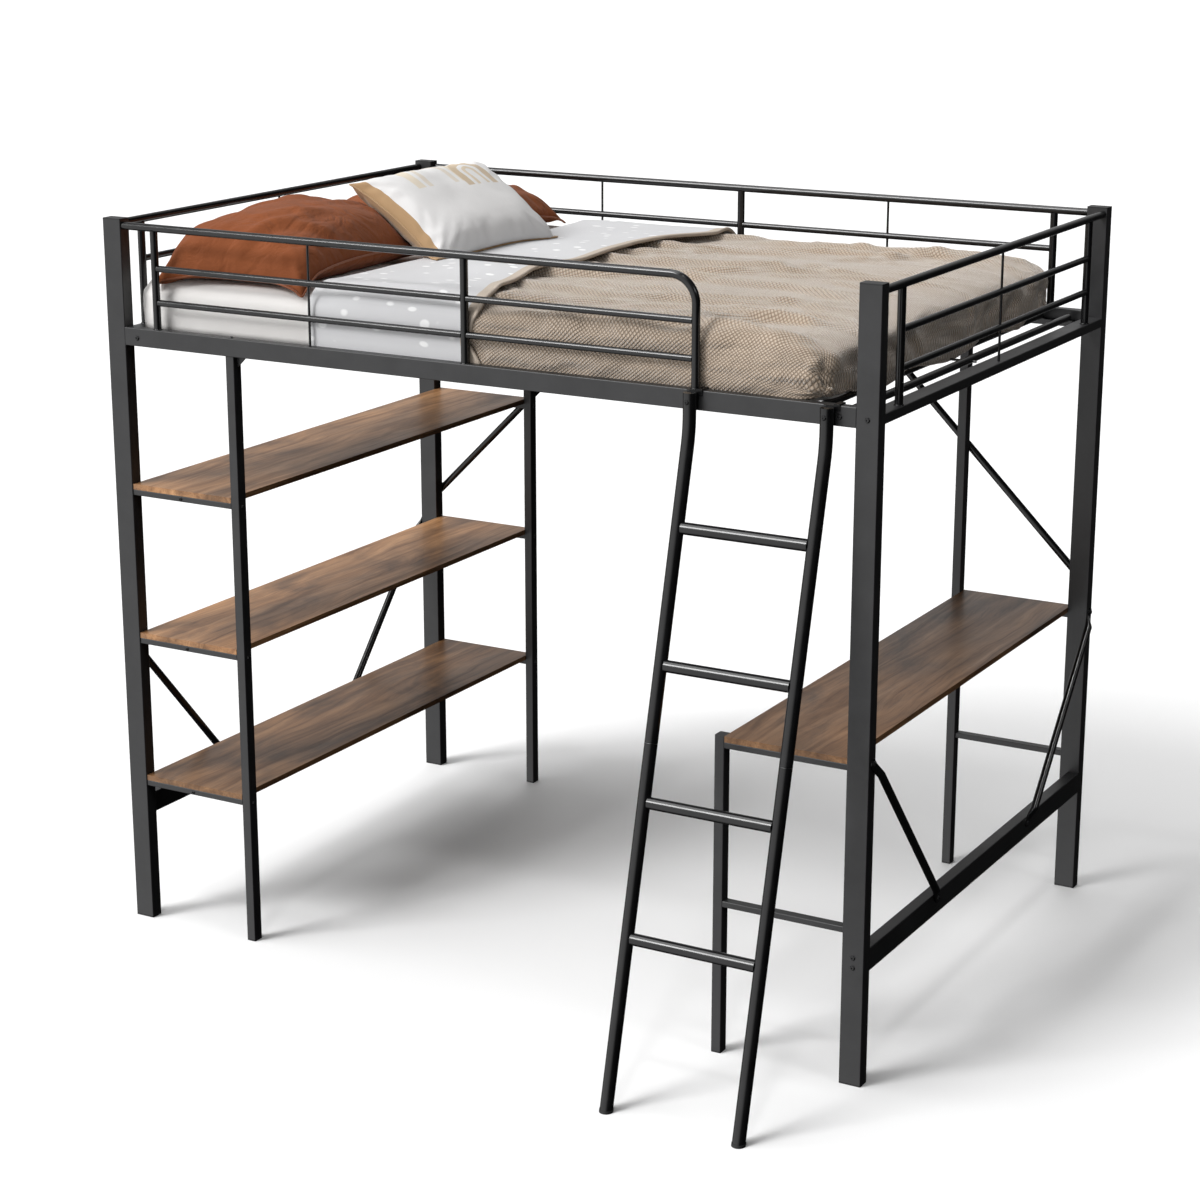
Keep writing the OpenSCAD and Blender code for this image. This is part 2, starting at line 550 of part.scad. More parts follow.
post_front_left();
post_front_right();
post_rear_left();
post_rear_right();
post_top_caps();
foot_caps();
side_rail_front();
side_rail_rear();
slat_ledges();
end_rail_left();
end_rail_right();
lower_rail_left();
lower_rail_right();
front_guard_top_tube();
front_guard_uprights();
front_guard_bars();
rear_guard_top_tube();
rear_guard_uprights();
rear_guard_bars();
end_guard_top_tubes();
end_guard_uprights();
end_guard_bars();
guard_rods();
slats();
slat_tie_rod();
shelf_leg_front();
shelf_leg_rear();
desk_leg_front();
desk_leg_rear();
leg_brackets();
shelf_board_lower();
shelf_board_middle();
shelf_board_upper();
desk_board();
shelf_support_bars();
shelf_stiffeners();
desk_support_bars();
desk_stiffener();
desk_stretchers();
end_braces_left();
end_braces_right();
rear_braces();
frame_bolts();
brace_bolts();
leg_bolts();
board_screws();
ladder_rail_left_upper();
ladder_rail_right_upper();
ladder_rail_left_lower();
ladder_rail_right_lower();
ladder_rungs();
ladder_joint_sleeves();
ladder_hooks();
ladder_feet();
ladder_bolts();
mattress();
comforter();
pillow_rust_front();
pillow_rust_rear();
pillow_patterned();
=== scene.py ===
import bpy, bmesh, json, math, random
import numpy as np
from mathutils import Vector, Matrix, noise
from mathutils.bvhtree import BVHTree

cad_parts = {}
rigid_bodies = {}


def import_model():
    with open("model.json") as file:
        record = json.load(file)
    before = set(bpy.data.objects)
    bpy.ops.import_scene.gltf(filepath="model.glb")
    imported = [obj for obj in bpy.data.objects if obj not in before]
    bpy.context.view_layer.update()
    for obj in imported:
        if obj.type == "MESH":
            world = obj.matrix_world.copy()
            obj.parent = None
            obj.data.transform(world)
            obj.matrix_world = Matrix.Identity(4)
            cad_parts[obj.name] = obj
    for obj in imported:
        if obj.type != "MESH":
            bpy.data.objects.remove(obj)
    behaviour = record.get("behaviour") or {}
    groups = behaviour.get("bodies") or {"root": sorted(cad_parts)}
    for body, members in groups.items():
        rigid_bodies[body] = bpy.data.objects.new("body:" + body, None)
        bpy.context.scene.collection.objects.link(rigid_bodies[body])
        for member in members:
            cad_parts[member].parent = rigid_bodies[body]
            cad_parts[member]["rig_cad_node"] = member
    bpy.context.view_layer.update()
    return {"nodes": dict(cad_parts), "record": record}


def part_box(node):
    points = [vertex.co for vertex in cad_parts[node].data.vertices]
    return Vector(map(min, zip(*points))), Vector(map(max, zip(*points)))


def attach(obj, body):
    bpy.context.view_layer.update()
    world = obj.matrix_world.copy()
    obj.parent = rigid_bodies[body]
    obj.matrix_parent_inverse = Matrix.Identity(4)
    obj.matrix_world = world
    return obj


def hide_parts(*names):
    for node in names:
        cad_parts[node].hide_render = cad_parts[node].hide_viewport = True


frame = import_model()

random.seed(7)
scene = bpy.context.scene
nodes = frame["nodes"]

# ---------------------------------------------------------------- frame numbers
# the corner post feet give the working offsets: x and y in metres from the front left post
lo_p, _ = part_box("post_front_left")
_, hi_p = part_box("post_rear_right")
X0, Y0 = lo_p.x, lo_p.y
BED_L, BED_W = hi_p.x - lo_p.x, hi_p.y - lo_p.y
m_lo, m_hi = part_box("mattress")
c_lo, c_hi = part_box("comforter")
RAIL_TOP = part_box("side_rail_front")[1].z


def W(x, y, z):
    """millimetres from the front left post's outer corner to the frame's metres"""
    return Vector((X0 + x / 1000.0, Y0 + y / 1000.0, z / 1000.0))


# ---------------------------------------------------------------- camera
cam_d = bpy.data.cameras.new("camera")
cam = bpy.data.objects.new("camera", cam_d)
scene.collection.objects.link(cam)
scene.camera = cam
cam_d.sensor_width = 36.0
cam_d.lens = 81.03
cam_d.clip_start, cam_d.clip_end = 0.1, 300
cam.location = W(4324.16, -5144.11, 2726.92)
az, el = math.radians(29.616), math.radians(15.798)
back = Vector((math.sin(az) * math.cos(el), -math.cos(az) * math.cos(el), math.sin(el)))
cam.rotation_mode = "QUATERNION"
cam.rotation_quaternion = (-back).to_track_quat("-Z", "Y")

# ---------------------------------------------------------------- light and floor
scene.view_settings.view_transform = "Standard"
world = bpy.data.worlds.new("studio")
scene.world = world
world.use_nodes = True
wt = world.node_tree
bg = wt.nodes["Background"]
bg.inputs[0].default_value = (1.0, 1.0, 1.0, 1)


def lobe(direction, lo, hi, gain):
    """a soft bright patch of the studio, round one direction"""
    d = Vector(direction).normalized()
    tcw = wt.nodes.new("ShaderNodeTexCoord")
    dt = wt.nodes.new("ShaderNodeVectorMath")
    dt.operation = "DOT_PRODUCT"
    dt.inputs[1].default_value = d
    wt.links.new(tcw.outputs["Generated"], dt.inputs[0])
    mr = wt.nodes.new("ShaderNodeMapRange")
    mr.interpolation_type = "SMOOTHSTEP"
    for k_, x_ in zip(("From Min", "From Max", "To Min", "To Max"), (lo, hi, 0.0, gain)):
        mr.inputs[k_].default_value = x_
    wt.links.new(dt.outputs["Value"], mr.inputs["Value"])
    return mr.outputs[0]


def add(a_, b_):
    nd = wt.nodes.new("ShaderNodeMath")
    nd.operation = "ADD"
    for k_, v_ in enumerate((a_, b_)):
        if hasattr(v_, "links"):
            wt.links.new(v_, nd.inputs[k_])
        else:
            nd.inputs[k_].default_value = v_
    return nd.outputs[0]


light = add(lobe((-0.55, -0.82, -0.16), 0.25, 0.95, 1.15), lobe((-0.52, 0.80, 0.30), 0.55, 0.98, 0.50))
light = add(light, lobe((-0.35, -0.3, 0.89), 0.45, 1.0, 0.35))
wt.links.new(add(light, 0.012), bg.inputs[1])


def sun(name, azim, elev, energy, angle):
    d = bpy.data.lights.new(name, "SUN")
    d.energy = energy
    d.angle = math.radians(angle)
    o = bpy.data.objects.new(name, d)
    a, e = math.radians(azim), math.radians(elev)
    src = Vector((math.sin(a) * math.cos(e), -math.cos(a) * math.cos(e), math.sin(e)))
    o.rotation_mode = "QUATERNION"
    o.rotation_quaternion = src.to_track_quat("Z", "Y")
    o.location = src * 8
    scene.collection.objects.link(o)
    return o


sun("key_front_left", -34, 40, 2.08, 22)
sun("top_soft", -60, 68, 0.97, 34)
sun("top_back", 205, 55, 0.40, 30)
sun("fill_right", 78, 30, 0.32, 16)
sun("edge_light", 20, 62, 0.28, 5)

me = bpy.data.meshes.new("floor")
fb = bmesh.new()
bmesh.ops.create_grid(fb, x_segments=2, y_segments=2, size=70)
fb.to_mesh(me)
fb.free()
floor = bpy.data.objects.new("floor", me)
floor.location = (0, 0, -0.0005)
scene.collection.objects.link(floor)
floor.visible_diffuse = False
floor.visible_glossy = False


# ---------------------------------------------------------------- materials
class NT:
    """small helper that builds a node material"""

    def __init__(self, name):
        self.mat = bpy.data.materials.new(name)
        self.mat.use_nodes = True
        self.t = self.mat.node_tree
        self.b = self.t.nodes["Principled BSDF"]
        self.tc = self.t.nodes.new("ShaderNodeTexCoord")

    def n(self, kind, **kw):
        nd = self.t.nodes.new(kind)
        for k, v in kw.items():
            if k.startswith("i_"):
                key = k[2:]
                key = int(key) if key.isdigit() else key.replace("_", " ")
                nd.inputs[key].default_value = v
            else:
                setattr(nd, k, v)
        return nd

    def link(self, a, b):
        self.t.links.new(a, b)

    def mapping(self, scale, rot=(0, 0, 0), src="Object"):
        m = self.n("ShaderNodeMapping")
        m.inputs["Scale"].default_value = scale
        m.inputs["Rotation"].default_value = rot
        self.link(self.tc.outputs[src], m.inputs["Vector"])
        return m.outputs["Vector"]

    def noise(self, vec, scale, detail=4, rough=0.55, dist=0.0):
        nd = self.n("ShaderNodeTexNoise")
        nd.inputs["Scale"].default_value = scale
        nd.inputs["Detail"].default_value = detail
        nd.inputs["Roughness"].default_value = rough
        nd.inputs["Distortion"].default_value = dist
        self.link(vec, nd.inputs["Vector"])
        return nd.outputs["Fac"]

    def ramp(self, fac, stops, interp="LINEAR"):
        r = self.n("ShaderNodeValToRGB")
        r.color_ramp.interpolation = interp
        e = r.color_ramp.elements
        while len(e) < len(stops):
            e.new(0.5)
        for el_, (p, c) in zip(e, stops):
            el_.position = p
            el_.color = (*c, 1) if len(c) == 3 else c
        self.link(fac, r.inputs["Fac"])
        return r.outputs["Color"]

    def math(self, op, a, b=None, clamp=False):
        nd = self.n("ShaderNodeMath", operation=op, use_clamp=clamp)
        for i, v in enumerate((a, b)):
            if v is None:
                continue
            if hasattr(v, "links"):
                self.link(v, nd.inputs[i])
            else:
                nd.inputs[i].default_value = v
        return nd.outputs[0]

    def mix(self, fac, a, b, blend="MIX"):
        nd = self.n("ShaderNodeMix", data_type="RGBA", blend_type=blend)
        for k, v in ((0, fac), (6, a), (7, b)):
            if hasattr(v, "links"):
                self.link(v, nd.inputs[k])
            elif k == 0:
                nd.inputs[k].default_value = v
            else:
                nd.inputs[k].default_value = (*v, 1)
        return nd.outputs[2]

    def maprange(self, v, a0, a1, b0, b1):
        nd = self.n("ShaderNodeMapRange")
        for k, x in zip(("From Min", "From Max", "To Min", "To Max"), (a0, a1, b0, b1)):
            nd.inputs[k].default_value = x
        self.link(v, nd.inputs["Value"])
        return nd.outputs[0]

    def bump(self, h, strength, dist, prev=None):
        nd = self.n("ShaderNodeBump")
        nd.inputs["Strength"].default_value = strength
        nd.inputs["Distance"].default_value = dist
        self.link(h, nd.inputs["Height"])
        if prev is not None:
            self.link(prev, nd.inputs["Normal"])
        return nd.outputs[0]

    def set(self, **kw):
        for k, v in kw.items():
            s = self.b.inputs[k.replace("_", " ")]
            if hasattr(v, "links"):
                self.link(v, s)
            elif isinstance(v, tuple) and len(v) == 3 and s.type == "RGBA":
                s.default_value = (*v, 1)
            else:
                s.default_value = v
        return self


def m_powder(name, base, rough, spec, grain=900.0, tint=0.0):
    """powder-coated steel: fine orange peel, faint mottling and rubbed, slightly lighter patches"""
    m = NT(name)
    v = m.tc.outputs["Object"]
    fine = m.noise(v, grain, 2, 0.5)
    mid = m.noise(v, 14, 5, 0.6, 0.3)
    spots = m.noise(v, 160, 3, 0.7)
    wear = m.ramp(mid, [(0.35, (0, 0, 0)), (0.75, (1, 1, 1))])
    lo = tuple(c * 0.82 for c in base)
    hi = tuple(c * 1.25 + 0.002 for c in base)
    col = m.mix(wear, lo, hi)
    col = m.mix(m.maprange(spots, 0.62, 0.8, 0.0, 0.18), col, tuple(c * 1.9 + 0.004 for c in base))
    r = m.math("ADD", m.maprange(mid, 0.3, 0.7, rough - 0.05, rough + 0.06), m.maprange(fine, 0.3, 0.7, -0.02, 0.02))
    k = 1.0 - tint
    nrm = m.bump(fine, 0.14 * k, 0.0004)
    nrm = m.bump(spots, 0.03 * k, 0.0005, nrm)
    m.set(Base_Color=col, Roughness=r, Metallic=0.0, Normal=nrm)
    m.b.inputs["Specular IOR Level"].default_value = spec
    return m.mat


def m_plastic(name, base, rough):
    m = NT(name)
    v = m.tc.outputs["Object"]
    f = m.noise(v, 500, 2, 0.5)
    g = m.noise(v, 25, 4, 0.6)
    col = m.mix(g, tuple(c * 0.8 for c in base), tuple(c * 1.3 + 0.003 for c in base))
    m.set(Base_Color=col, Roughness=m.maprange(g, 0.3, 0.7, rough - 0.05, rough + 0.08), Normal=m.bump(f, 0.25, 0.0005))
    m.b.inputs["Specular IOR Level"].default_value = 0.35
    return m.mat


def m_steel(name, base, rough):
    m = NT(name)
    v = m.mapping((60, 60, 900))
    f = m.noise(v, 3, 3, 0.6)
    g = m.noise(m.tc.outputs["Object"], 30, 4, 0.6)
    col = m.mix(g, tuple(c * 0.85 for c in base), tuple(min(1, c * 1.15) for c in base))
    m.set(Base_Color=col, Metallic=1.0, Roughness=m.maprange(f, 0.3, 0.7, rough - 0.08, rough + 0.1), Normal=m.bump(f, 0.1, 0.0004))
    return m.mat


def m_wood(name, seed, gain=1.0):
    """rustic brown laminate, grain along y, warm brown with darker smoky patches; gain scales the whole colour as
    painted light and shade, set per board
    """
    m = NT(name)
    mp = m.n("ShaderNodeMapping")
    mp.inputs["Location"].default_value = (seed * 0.37, seed * 1.3, seed * 0.11)
    mp.inputs["Scale"].default_value = (1, 1, 1)
    m.link(m.tc.outputs["Object"], mp.inputs["Vector"])
    base_v = mp.outputs["Vector"]

    def scaled(s):
        q = m.n("ShaderNodeMapping")
        q.inputs["Scale"].default_value = s
        m.link(base_v, q.inputs["Vector"])
        return q.outputs["Vector"]

    warp = m.noise(scaled((5, 1.3, 5)), 1.4, 3, 0.5)
    wv = m.n("ShaderNodeVectorMath", operation="ADD")
    cmb = m.n("ShaderNodeCombineXYZ")
    m.link(m.math("MULTIPLY", warp, 0.10), cmb.inputs[0])
    m.link(base_v, wv.inputs[0])
    m.link(cmb.outputs[0], wv.inputs[1])
    q = m.n("ShaderNodeMapping")
    q.inputs["Scale"].default_value = (34, 1.5, 34)
    m.link(wv.outputs[0], q.inputs["Vector"])
    grain = m.noise(q.outputs["Vector"], 1.0, 8, 0.62, 0.8)
    q2 = m.n("ShaderNodeMapping")
    q2.inputs["Scale"].default_value = (260, 7, 260)
    m.link(wv.outputs[0], q2.inputs["Vector"])
    fine = m.noise(q2.outputs["Vector"], 1.0, 4, 0.7)
    patch = m.noise(scaled((7, 2.4, 7)), 1.0, 5, 0.6, 0.6)
    col = m.ramp(grain, [(0.28, (0.105, 0.052, 0.024)), (0.44, (0.190, 0.102, 0.048)), (0.6, (0.275, 0.155, 0.075)), (0.78, (0.37, 0.225, 0.125))])
    smoky = m.ramp(patch, [(0.36, (0.46, 0.43, 0.42)), (0.50, (0.95, 0.90, 0.86)), (0.66, (1.30, 1.22, 1.12))])
    col = m.mix(1.0, col, smoky, "MULTIPLY")
    pores = m.ramp(fine, [(0.36, (0.62, 0.58, 0.55)), (0.5, (1, 1, 1))])
    col = m.mix(0.75, col, pores, "MULTIPLY")
    # painted light and shade: the whole board colour is multiplied by gain, set per board to stand in for how much
    # light reaches it
    col = m.mix(1.0, col, (gain, gain * 0.98, gain * 0.96), "MULTIPLY")
    rough = m.maprange(grain, 0.3, 0.7, 0.42, 0.30)
    nrm = m.bump(fine, 0.16, 0.0007)
    nrm = m.bump(grain, 0.10, 0.0012, nrm)
    m.set(Base_Color=col, Roughness=rough, Normal=nrm)
    m.b.inputs["Specular IOR Level"].default_value = 0.42
    return m.mat


def weave_height(m, vec, su, sv):
    """height of a plain weave in uv metres: two crossed sines"""
    sep = m.n("ShaderNodeSeparateXYZ")
    m.link(vec, sep.inputs[0])
    a = m.math("SINE", m.math("MULTIPLY", sep.outputs[0], 2 * math.pi * su))
    b = m.math("SINE", m.math("MULTIPLY", sep.outputs[1], 2 * math.pi * sv))
    return m.math("MULTIPLY", a, b), a, b


def m_cloth(name, base, dark, cell=0.0012, waffle=None, sheen=0.3, rough=0.85, blotch=0.35, bump=0.4, scale_b=6, fuzz=0.35, wrinkle=0.0):
    """woven cloth on uv in metres; waffle adds a coarser raised texture with painted shade in the gaps between its
    tufts, wrinkle fine crumpling
    """
    m = NT(name)
    uv = m.tc.outputs["UV"]
    ob = m.tc.outputs["Object"]
    h, a, b = weave_height(m, uv, 1 / cell, 1 / cell)
    fib = m.noise(ob, 700, 3, 0.7)
    blo = m.noise(ob, scale_b, 5, 0.6, 0.4)
    col = m.mix(m.maprange(blo, 0.3, 0.7, 0.0, blotch), base, dark)
    col = m.mix(m.maprange(fib, 0.35, 0.75, 0.0, fuzz), col, dark)
    nrm = m.bump(m.math("ADD", h, m.math("MULTIPLY", fib, 1.2)), bump * 0.55, 0.0006)
    if wrinkle:
        for sc_, am_ in ((7.0, 1.0), (17.0, 0.55)):
            wn = m.noise(ob, sc_, 3, 0.5, 1.1)
            rdg = m.maprange(m.math("ABSOLUTE", m.math("SUBTRACT", wn, 0.5)), 0.0, 0.10, 0.0, 1.0)
            nrm = m.bump(rdg, wrinkle * am_, 0.010 * am_, nrm)
    if waffle:
        wob = m.noise(ob, 22, 3, 0.5)
        off = m.n("ShaderNodeVectorMath", operation="ADD")
        c2 = m.n("ShaderNodeCombineXYZ")
        m.link(m.math("MULTIPLY", wob, 0.006), c2.inputs[0])
        m.link(m.math("MULTIPLY", wob, 0.004), c2.inputs[1])
        m.link(uv, off.inputs[0])
        m.link(c2.outputs[0], off.inputs[1])
        rt_ = m.n("ShaderNodeMapping")
        rt_.inputs["Rotation"].default_value = (0, 0, 0.82)
        rt_.inputs["Scale"].default_value = (1.0, 1.12, 1.0)
        m.link(off.outputs[0], rt_.inputs["Vector"])
        w, _, _ = weave_height(m, rt_.outputs["Vector"], 0.5 / waffle, 0.5 / waffle)
        dots = m.math("ABSOLUTE", w)
        tuft = m.maprange(dots, 0.05, 0.75, 0.0, 1.0)
        strength = m.maprange(m.noise(ob, 3.2, 2, 0.5), 0.35, 0.65, 0.55, 1.0)
        hh = m.math("MULTIPLY", tuft, strength)
        nrm = m.bump(hh, 0.85, 0.0028, nrm)
        # painted shade: the recesses between the raised tufts are darkened towards the dark colour
        col = m.mix(m.math("MULTIPLY", m.math("SUBTRACT", 1.0, tuft), 0.85), col, dark)
    m.set(Base_Color=col, Roughness=rough, Normal=nrm)
    m.b.inputs["Sheen Weight"].default_value = sheen
    m.b.inputs["Sheen Roughness"].default_value = 0.5
    m.b.inputs["Specular IOR Level"].default_value = 0.2
    return m


MAT = {}
MAT["black_frame"] = m_powder("powder_black_satin", (0.017, 0.017, 0.018), 0.42, 0.55)
MAT["black_tube"] = m_powder("powder_black_semigloss", (0.006, 0.006, 0.0065), 0.17, 0.50, 900, 0.9)
MAT["plastic_cap"] = m_plastic("plastic_black", (0.016, 0.016, 0.017), 0.5)
MAT["black_bolt"] = m_powder("bolt_black", (0.009, 0.009, 0.010), 0.32, 0.5, 1500)
MAT["bare_steel"] = m_steel("steel_bare", (0.42, 0.42, 0.43), 0.35)

for n in nodes.values():
    slot = next((s["material_slot"] for s in frame["record"]["subparts"] if s["node"] == n["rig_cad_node"]), None)
    name = n["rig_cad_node"]
    if slot == "rustic_board":
        # painted light and shade: the lower board is painted darker, and the middle and upper boards, shaded by the bed
        # above, are painted much brighter
        mat = m_wood("board_" + name, {"shelf_board_lower": 1.0, "shelf_board_middle": 2.0, "shelf_board_upper": 3.0}.get(name, 4.0),
                     {"shelf_board_lower": 0.88, "shelf_board_middle": 1.55, "shelf_board_upper": 1.45}.get(name, 1.0))
    else:
        mat = MAT.get(slot)
    if mat:
        n.data.materials.clear()
        n.data.materials.append(mat)

fm = NT("floor_pale")
fm.set(Base_Color=fm.mix(fm.noise(fm.tc.outputs["Object"], 3, 3), (0.93, 0.93, 0.93), (0.945, 0.945, 0.945)), Roughness=0.9)
fm.b.inputs["Specular IOR Level"].default_value = 0.0
floor.data.materials.append(fm.mat)


# ---------------------------------------------------------------- mesh helpers
def add_object(name, verts, faces, uvs=None, mats=(), smooth=True):
    me = bpy.data.meshes.new(name)
    me.from_pydata([tuple(v) for v in verts], [], faces)
    me.validate()
    o = bpy.data.objects.new(name, me)
    scene.collection.objects.link(o)
    if uvs is not None:
        lay = me.uv_layers.new(name="UVMap")
        vi = np.zeros(len(me.loops), int)
        me.loops.foreach_get("vertex_index", vi)
        uv = np.asarray(uvs, float)[vi]
        lay.data.foreach_set("uv", uv.ravel())
    for m in mats:
        me.materials.append(m)
    if smooth:
        for p in me.polygons:
            p.use_smooth = True
    return o


def coords(o):
    a = np.zeros(len(o.data.vertices) * 3)
    o.data.vertices.foreach_get("co", a)
    return a.reshape(-1, 3)


def set_coords(o, a):
    o.data.vertices.foreach_set("co", np.asarray(a, float).ravel())
    o.data.update()


def apply_all(o):
    bpy.ops.object.select_all(action="DESELECT")
    o.select_set(True)
    bpy.context.view_layer.objects.active = o
    for md in list(o.modifiers):
        bpy.ops.object.modifier_apply(modifier=md.name)


def grid_faces(nu, nv, flip=False):
    f = []
    for i in range(nu - 1):
        for j in range(nv - 1):
            q = (i * nv + j, (i + 1) * nv + j, (i + 1) * nv + j + 1, i * nv + j + 1)
            f.append(q[::-1] if flip else q)
    return f


def nz(x, y, z, s, seed=0.0):
    return noise.noise(Vector((x * s + seed, y * s - seed * 1.7, z * s + seed * 0.3)))


def run_cloth(o, frames, colliders, pin=None, pressure=None, shrink=0.0, gravity=1.0, quality=6, mass=0.3, tension=15, bend=0.5, dist=0.003, air=1.0):
    for c in colliders:
        md = c.modifiers.new("Collision", "COLLISION")
        c.collision.thickness_outer = 0.003
        c.collision.cloth_friction = 12
    cl = o.modifiers.new("Cloth", "CLOTH")
    s = cl.settings
    s.quality = quality
    s.mass = mass
    s.air_damping = air
    s.tension_stiffness = s.compression_stiffness = tension
    s.shear_stiffness = tension * 0.5
    s.bending_stiffness = bend
    s.tension_damping = s.compression_damping = s.shear_damping = 8
    s.bending_damping = 1.0
    s.shrink_min = shrink
    s.effector_weights.gravity = gravity
    if pressure:
        s.use_pressure = True
        s.uniform_pressure_force = pressure
    if pin:
        s.vertex_group_mass = pin
        s.pin_stiffness = 1.0
    cs = cl.collision_settings
    cs.use_collision = bool(colliders)
    cs.distance_min = dist
    cs.collision_quality = 3
    cs.use_self_collision = False
    cl.point_cache.frame_start = 1
    cl.point_cache.frame_end = frames
    scene.frame_start, scene.frame_end = 1, frames
    for f in range(1, frames + 1):
        scene.frame_set(f)
    dg = bpy.context.evaluated_depsgraph_get()
    ev = o.evaluated_get(dg)
    a = np.zeros(len(ev.data.vertices) * 3)
    ev.data.vertices.foreach_get("co", a)
    o.modifiers.remove(cl)
    scene.frame_set(1)
    set_coords(o, a.reshape(-1, 3))
    for c in colliders:
        c.modifiers.clear()


# ---------------------------------------------------------------- mattress and fitted sheet
def rounded_box(name, lo, hi, r, step, mats=(), puff=0.0, seed=0.0):
    """closed box of quads with rounded edges"""
    size = hi - lo
    nx, ny, nzz = (max(2, int(round(size[k] / step))) for k in range(3))
    bm = bmesh.new()
    idx = {}

    def v(i, j, k):
        key = (i, j, k)
        if key not in idx:
            idx[key] = bm.verts.new((i / nx, j / ny, k / nzz))
        return idx[key]

    for i in range(nx):
        for j in range(ny):
            bm.faces.new((v(i, j, nzz), v(i + 1, j, nzz), v(i + 1, j + 1, nzz), v(i, j + 1, nzz)))
            bm.faces.new((v(i, j, 0), v(i, j + 1, 0), v(i + 1, j + 1, 0), v(i + 1, j, 0)))
    for i in range(nx):
        for k in range(nzz):
            bm.faces.new((v(i, 0, k), v(i + 1, 0, k), v(i + 1, 0, k + 1), v(i, 0, k + 1)))
            bm.faces.new((v(i, ny, k), v(i, ny, k + 1), v(i + 1, ny, k + 1), v(i + 1, ny, k)))
    for j in range(ny):
        for k in range(nzz):
            bm.faces.new((v(0, j, k), v(0, j, k + 1), v(0, j + 1, k + 1), v(0, j + 1, k)))
            bm.faces.new((v(nx, j, k), v(nx, j + 1, k), v(nx, j + 1, k + 1), v(nx, j, k + 1)))
    c = (lo + hi) / 2
    for vt in bm.verts:
        p = Vector([lo[k] + size[k] * vt.co[k] for k in range(3)])
        q = Vector([min(max(p[k], lo[k] + r[k]), hi[k] - r[k]) for k in range(3)])
        d = p - q
        m = max(abs(d[k]) / r[k] for k in range(3))
        if m > 0:
            e = Vector([d[k] / r[k] for k in range(3)])
            L = e.length
            p = q + Vector([e[k] / L * m * r[k] for k in range(3)])
        vt.co = p
    bm.normal_update()
    mesh = bpy.data.meshes.new(name)
    bm.to_mesh(mesh)
    bm.free()
    o = bpy.data.objects.new(name, mesh)
    scene.collection.objects.link(o)
    for m_ in mats:
        mesh.materials.append(m_)
    for p in mesh.polygons:
        p.use_smooth = True
    return o


def box_uv(o, name="UVMap"):
    """uv in metres by face direction, so that a weave keeps its scale"""
    me = o.data
    lay = me.uv_layers.get(name) or me.uv_layers.new(name=name)
    for p in me.polygons:
        n = p.normal
        k = max(range(3), key=lambda q: abs(n[q]))
        for li in p.loop_indices:
            c = me.vertices[me.loops[li].vertex_index].co
            lay.data[li].uv = (c.x, c.y) if k == 2 else ((c.x, c.z) if k == 1 else (c.y, c.z))


ticking = m_cloth("ticking", (0.72, 0.71, 0.69), (0.55, 0.54, 0.52), 0.0016, waffle=0.03, sheen=0.1, bump=0.3)
sheet_m = m_cloth("sheet_cotton", (0.82, 0.80, 0.78), (0.70, 0.675, 0.65), 0.0011, sheen=0.15, rough=0.9, blotch=0.25, bump=0.3, fuzz=0.12)
mz0, mz1 = m_lo.z, m_hi.z


def g_drop(d, r, z):
    """how far a rounded edge has fallen at a distance d inside the outline"""
    if d >= r:
        return 0.0
    t = 1 - max(d, 0.0) / r
    return z * (1 - math.sqrt(max(0.0, 1 - t * t)))


